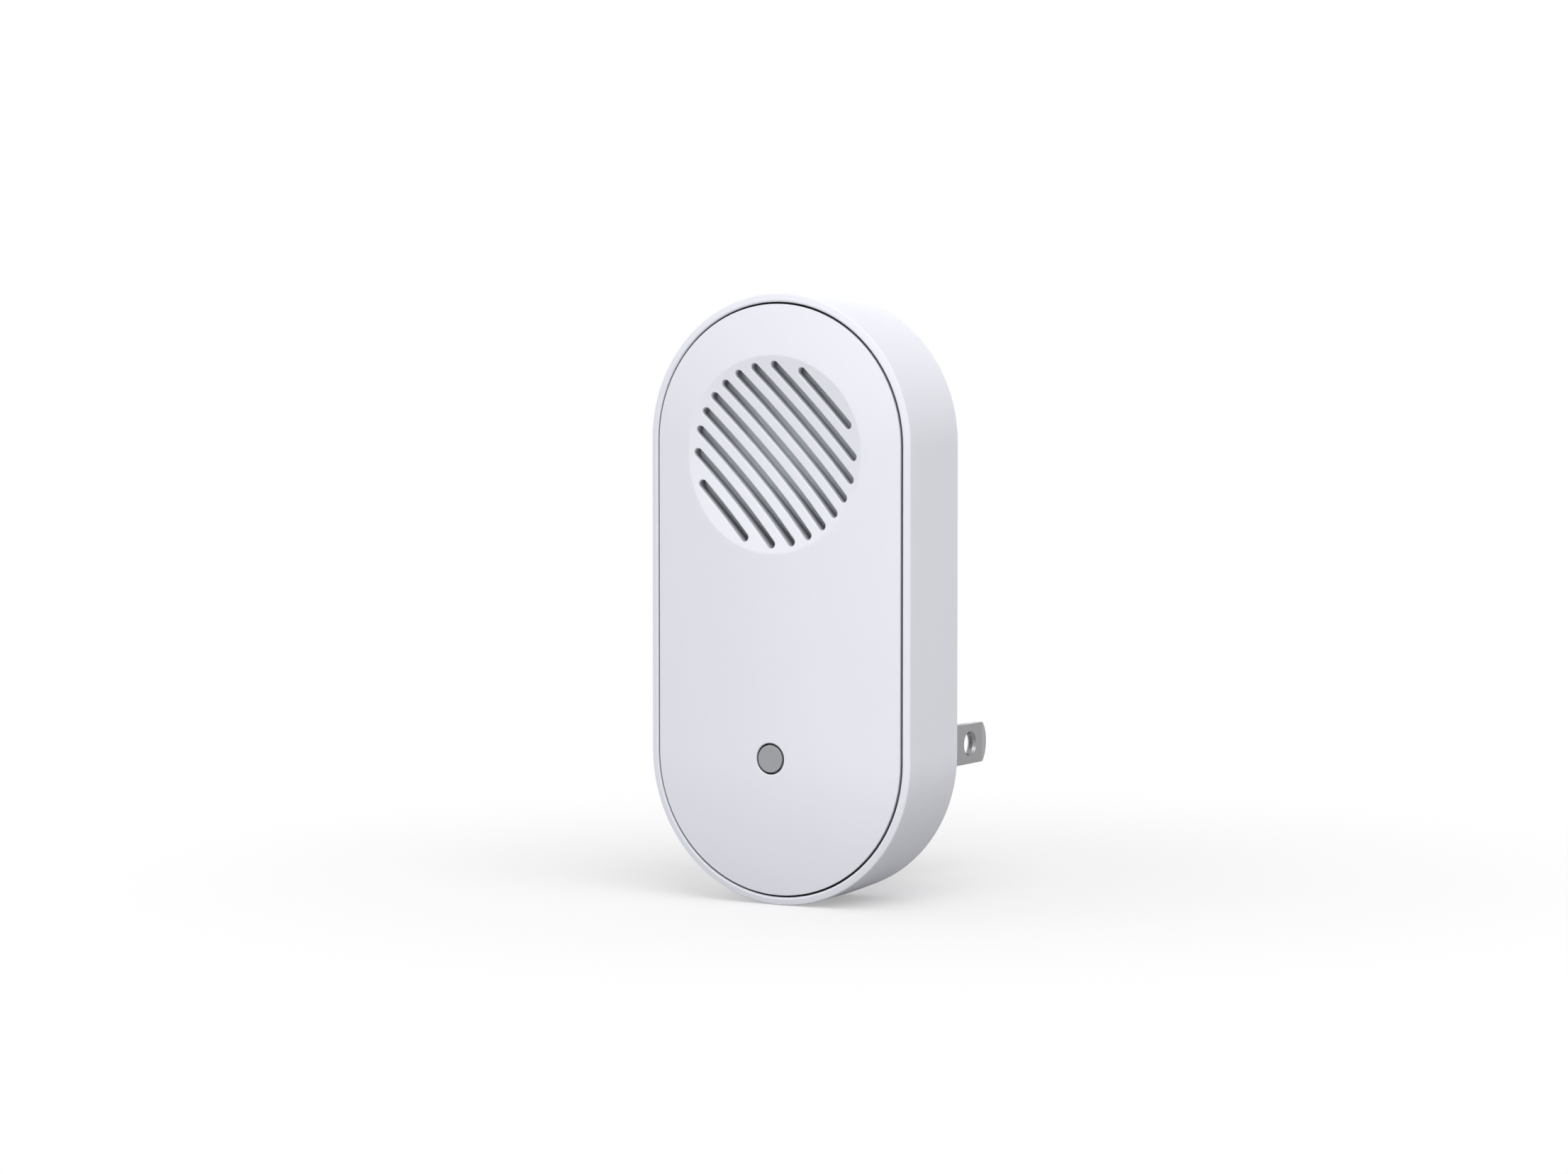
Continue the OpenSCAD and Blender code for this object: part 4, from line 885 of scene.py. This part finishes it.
def make_materials():
    """One finish for each material slot of the record."""
    made = {
        # The shell's gap walls take painted shade, down to 0.12 of its colour
        "white_shell": moulded("white_shell", tint(*SHELL_LEVELS), 0.42, 0.25, 0.0006, mottle=0.004,
                               mottle_mm=14, spread=0.02, painted_gap_shade=0.12),
        "button_grey": moulded("button_grey", tint(164, 165, 169), 0.5, 0.2, 0.001, 0.01, 2),
        "nickel_blade": metal("nickel_blade", tint(149, 149, 152), 0.3, (1, 1, 8), 0.8, depth=0.0002,
                              spread=0.04),
        "speaker_cloth": cloth("speaker_cloth", tint(196, 202, 208)),
        "foam": fibres("foam", tint(62, 62, 64), 0.35, 0.95, (1, 1, 1), 0.08),
        "black_plastic": moulded("black_plastic", tint(52, 52, 55), 0.5, 0.3, 0.004, 0.05, 4),
        "cone_paper": fibres("cone_paper", tint(66, 66, 70), 0.6, 0.8, (1, 1, 1), 0.03),
        "surround_rubber": moulded("surround_rubber", tint(46, 46, 48), 0.55, 0.2, 0.003, 0.05, 3),
        "copper_wire": wound("copper_wire", tint(214, 140, 92), 0.2, "Y", 0.3, 1.0),
        "steel": metal("steel", tint(196, 196, 200), 0.3, (1, 1, 1), 0.3, 0.002),
        "magnet": fibres("magnet", tint(150, 150, 155), 0.2, 0.45, (1, 1, 1), 0.006),
        "board_laminate": laminate("board_laminate", tint(26, 88, 58)),
        "module_laminate": laminate("module_laminate", tint(24, 52, 92), 0.8),
        "power_laminate": laminate("power_laminate", tint(150, 120, 62), 1.6),
        "chip_epoxy": moulded("chip_epoxy", tint(44, 44, 46), 0.55, 0.12, 0.004, 0.06, 1.5),
        "component_ceramic": moulded("component_ceramic", tint(196, 180, 152), 0.5, 0.15, 0.004, 0.05, 1),
        "ferrite": fibres("ferrite", tint(66, 64, 63), 0.25, 0.6, (1, 1, 1), 0.01),
        "aluminium_can": metal("aluminium_can", tint(222, 222, 224), 0.28, (1, 12, 1), 0.8, 0.001),
        "capacitor_sleeve": moulded("capacitor_sleeve", tint(38, 48, 92), 0.3, 1.5, 0.01, 0.04, 3),
        "winding_tape": wound("winding_tape", tint(226, 182, 40), 1.2, "Y", 0.35, 0.0, 0.05),
        "connector_nylon": moulded("connector_nylon", tint(232, 228, 214), 0.45, 0.3, 0.003, 0.03, 2),
        "lead_red": moulded("lead_red", tint(190, 34, 32), 0.45, 0.3, 0.004, 0.05, 2),
        "lead_black": moulded("lead_black", tint(44, 44, 46), 0.45, 0.3, 0.004, 0.05, 2),
        "led_lens": moulded("led_lens", tint(240, 238, 214), 0.2, 0.5, 0.001, 0.02, 1),
        "gold_pin": metal("gold_pin", tint(224, 188, 110), 0.28, (1, 8, 1), 0.4, 0.001),
        "fish_paper": fibres("fish_paper", tint(116, 128, 112), 0.3, 0.8, (1, 1, 4), 0.02),
        "barrier_sheet": moulded("barrier_sheet", tint(214, 216, 219), 0.4, 0.4, 0.003, 0.02, 5),
        "label_film": moulded("label_film", tint(214, 215, 219), 0.36, 0.12, 0.0015, 0.02, 3),
    }
    return {slot: finish.material for slot, finish in made.items()}


def dress_nodes(materials):
    """Gives every node of the model the finish of its material slot."""
    for part in frame["record"]["subparts"]:
        obj = frame["nodes"][part["node"]]
        for slot in obj.material_slots:
            slot.material = materials[part["material_slot"]]


def place_pieces(materials):
    """Makes the pieces that stand for nodes, with their finish and body."""
    pieces = [
        (make_cover(), "front_cover", "white_shell", "housing"),
        (make_housing(), "rear_housing", "white_shell", "housing"),
        (make_button(), "button_cap", "button_grey", "button"),
        (make_blade("blade_left", -BLADE_X), "plug_blade_left", "nickel_blade", "housing"),
        (make_blade("blade_right", BLADE_X), "plug_blade_right", "nickel_blade", "housing"),
        (make_label(), "rating_label", "label_film", "housing"),
    ]
    for piece, node, slot, body in pieces:
        dress_piece(piece, node, slot, materials)
        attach(piece, body)
    # The snap dome, as a piece with its node's own mesh
    dome = copy_node("switch_dome", "snap_dome")
    dress_piece(dome, "switch_dome", "gold_pin", materials)
    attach(dome, "housing")
    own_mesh(dome)
    # The roll's sectors, and the places of their outer foot on the frame and their inner foot on the cone
    for piece, (out_x, out_z) in make_roll():
        dress_piece(piece, "speaker_surround", "surround_rubber", materials)
        still, moving = ((r * out_x * MM, ROLL_Y * MM, (DISH_Z + r * out_z) * MM)
                         for r in (ROLL_R + ROLL_OUT - ROLL_T, ROLL_R - ROLL_OUT + ROLL_T))
        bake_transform(piece)
        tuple(still)
        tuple(moving)


def dress_piece(piece, node, slot, materials):
    piece.data.materials.append(materials[slot])
    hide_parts(node)


# ---- Stage: floor, world, lamps and camera ----

def make_floor():
    """A pale floor that keeps the object's shadow, and is paler as seen than in the light it throws back."""
    z = CAD_BOX[0][2]
    mesh = bpy.data.meshes.new("floor")
    corners = [(x * FLOOR_HALF, y * FLOOR_HALF, z) for x, y in ((-1, -1), (1, -1), (1, 1), (-1, 1))]
    mesh.from_pydata(corners, [], [(0, 1, 2, 3)])
    floor = bpy.data.objects.new("floor", mesh)
    bpy.context.scene.collection.objects.link(floor)
    material = bpy.data.materials.new("floor")
    material.use_nodes = True
    tree = material.node_tree
    tree.nodes.clear()

    def diffuse(level):
        node = tree.nodes.new("ShaderNodeBsdfDiffuse")
        node.inputs["Color"].default_value = (level, level, level, 1)
        return node.outputs["BSDF"]

    def glow():
        node = tree.nodes.new("ShaderNodeEmission")
        node.inputs["Color"].default_value = (1, 1, 1, 1)
        node.inputs["Strength"].default_value = 1
        return node.outputs["Emission"]
    # Near the object it has a plain glow, but not in the object's own reflections of it
    near = tree.nodes.new("ShaderNodeAddShader")
    lift = glow()
    strength = tree.nodes.new("ShaderNodeMath")
    strength.operation = "MULTIPLY"
    strength.inputs[1].default_value = FLOOR_LIFT
    tree.links.new(seen_by(tree, "Is Camera Ray", "Is Transmission Ray"), strength.inputs[0])
    tree.links.new(strength.outputs["Value"], lift.node.inputs["Strength"])
    tree.links.new(diffuse(FLOOR_SEEN), near.inputs[0])
    tree.links.new(lift, near.inputs[1])
    # Away from the object the floor turns into the white of the backdrop
    coords = tree.nodes.new("ShaderNodeTexCoord")
    distance = tree.nodes.new("ShaderNodeVectorMath")
    distance.operation = "DISTANCE"
    distance.inputs[1].default_value = (0, 0, z)
    tree.links.new(coords.outputs["Object"], distance.inputs[0])
    away = tree.nodes.new("ShaderNodeMapRange")
    away.interpolation_type = "SMOOTHSTEP"
    away.inputs["From Min"].default_value, away.inputs["From Max"].default_value = FLOOR_FADE
    tree.links.new(distance.outputs["Value"], away.inputs["Value"])
    seen = tree.nodes.new("ShaderNodeMixShader")
    tree.links.new(away.outputs["Result"], seen.inputs["Fac"])
    tree.links.new(near.outputs["Shader"], seen.inputs[1])
    tree.links.new(glow(), seen.inputs[2])
    mix = tree.nodes.new("ShaderNodeMixShader")
    tree.links.new(seen_directly(tree), mix.inputs["Fac"])
    tree.links.new(diffuse(FLOOR_BOUNCE), mix.inputs[1])
    tree.links.new(seen.outputs["Shader"], mix.inputs[2])
    output = tree.nodes.new("ShaderNodeOutputMaterial")
    tree.links.new(mix.outputs["Shader"], output.inputs["Surface"])
    mesh.materials.append(material)


def seen_by(tree, first, *others):
    """1 for the named kinds of ray, and 0 for the rest."""
    path = tree.nodes.new("ShaderNodeLightPath")
    total = path.outputs[first]
    for name in others:
        node = tree.nodes.new("ShaderNodeMath")
        node.operation = "MAXIMUM"
        tree.links.new(total, node.inputs[0])
        tree.links.new(path.outputs[name], node.inputs[1])
        total = node.outputs["Value"]
    return total


def seen_directly(tree):
    """1 where the eye meets a surface, in a mirror or through glass too, and 0 for the light it throws on."""
    return seen_by(tree, "Is Camera Ray", "Is Glossy Ray", "Is Transmission Ray")


def make_world():
    """Even light that is a little stronger from one side, behind a white backdrop."""
    world = bpy.data.worlds.new("studio")
    bpy.context.scene.world = world
    world.use_nodes = True
    tree = world.node_tree
    tree.nodes.clear()
    coords = tree.nodes.new("ShaderNodeTexCoord")
    dot = tree.nodes.new("ShaderNodeVectorMath")
    dot.operation = "DOT_PRODUCT"
    dot.inputs[1].default_value = WORLD_LEAN
    tree.links.new(coords.outputs["Generated"], dot.inputs[0])
    level = tree.nodes.new("ShaderNodeMath")
    level.operation = "ADD"
    level.inputs[1].default_value = WORLD_LEVEL
    tree.links.new(dot.outputs["Value"], level.inputs[0])
    light = tree.nodes.new("ShaderNodeBackground")
    tree.links.new(level.outputs["Value"], light.inputs["Strength"])
    white = tree.nodes.new("ShaderNodeBackground")
    for background in (light, white):
        background.inputs["Color"].default_value = (1, 1, 1, 1)
    white.inputs["Strength"].default_value = 1
    mix = tree.nodes.new("ShaderNodeMixShader")
    tree.links.new(seen_directly(tree), mix.inputs["Fac"])
    tree.links.new(light.outputs["Background"], mix.inputs[1])
    tree.links.new(white.outputs["Background"], mix.inputs[2])
    output = tree.nodes.new("ShaderNodeOutputWorld")
    tree.links.new(mix.outputs["Shader"], output.inputs["Surface"])


def aim(obj, place, target):
    """Puts a lamp or a camera at a place, looking at a target."""
    turned = (Vector(place) - Vector(target)).to_track_quat("Z", "Y")
    obj.matrix_world = Matrix.Translation(place) @ turned.to_matrix().to_4x4()


def make_lamps():
    """Soft square lamps round the object."""
    middle = (Vector(CAD_BOX[0]) + Vector(CAD_BOX[1])) / 2
    for name, (direction, distance, size, watts) in LAMPS.items():
        light = bpy.data.lights.new(name, "AREA")
        light.shape, light.size, light.energy = "SQUARE", size, watts
        lamp = bpy.data.objects.new(name, light)
        bpy.context.scene.collection.objects.link(lamp)
        aim(lamp, middle + Vector(direction).normalized() * distance, middle)


def make_camera():
    turn, rise = radians(CAMERA_TURN), radians(CAMERA_RISE)
    data = bpy.data.cameras.new("camera")
    data.lens, data.sensor_width, data.clip_start = CAMERA_LENS, CAMERA_SENSOR, CAMERA_CLIP
    camera = bpy.data.objects.new("camera", data)
    bpy.context.scene.collection.objects.link(camera)
    ahead = Vector((-sin(turn) * cos(rise), cos(turn) * cos(rise), -sin(rise)))
    aim(camera, Vector(CAMERA_PLACE), Vector(CAMERA_PLACE) + ahead)
    bpy.context.scene.camera = camera


# ---- The scene ----

make_camera()
make_floor()
make_world()
make_lamps()
materials = make_materials()
dress_nodes(materials)
place_pieces(materials)

bpy.context.scene.view_settings.view_transform = "Standard"
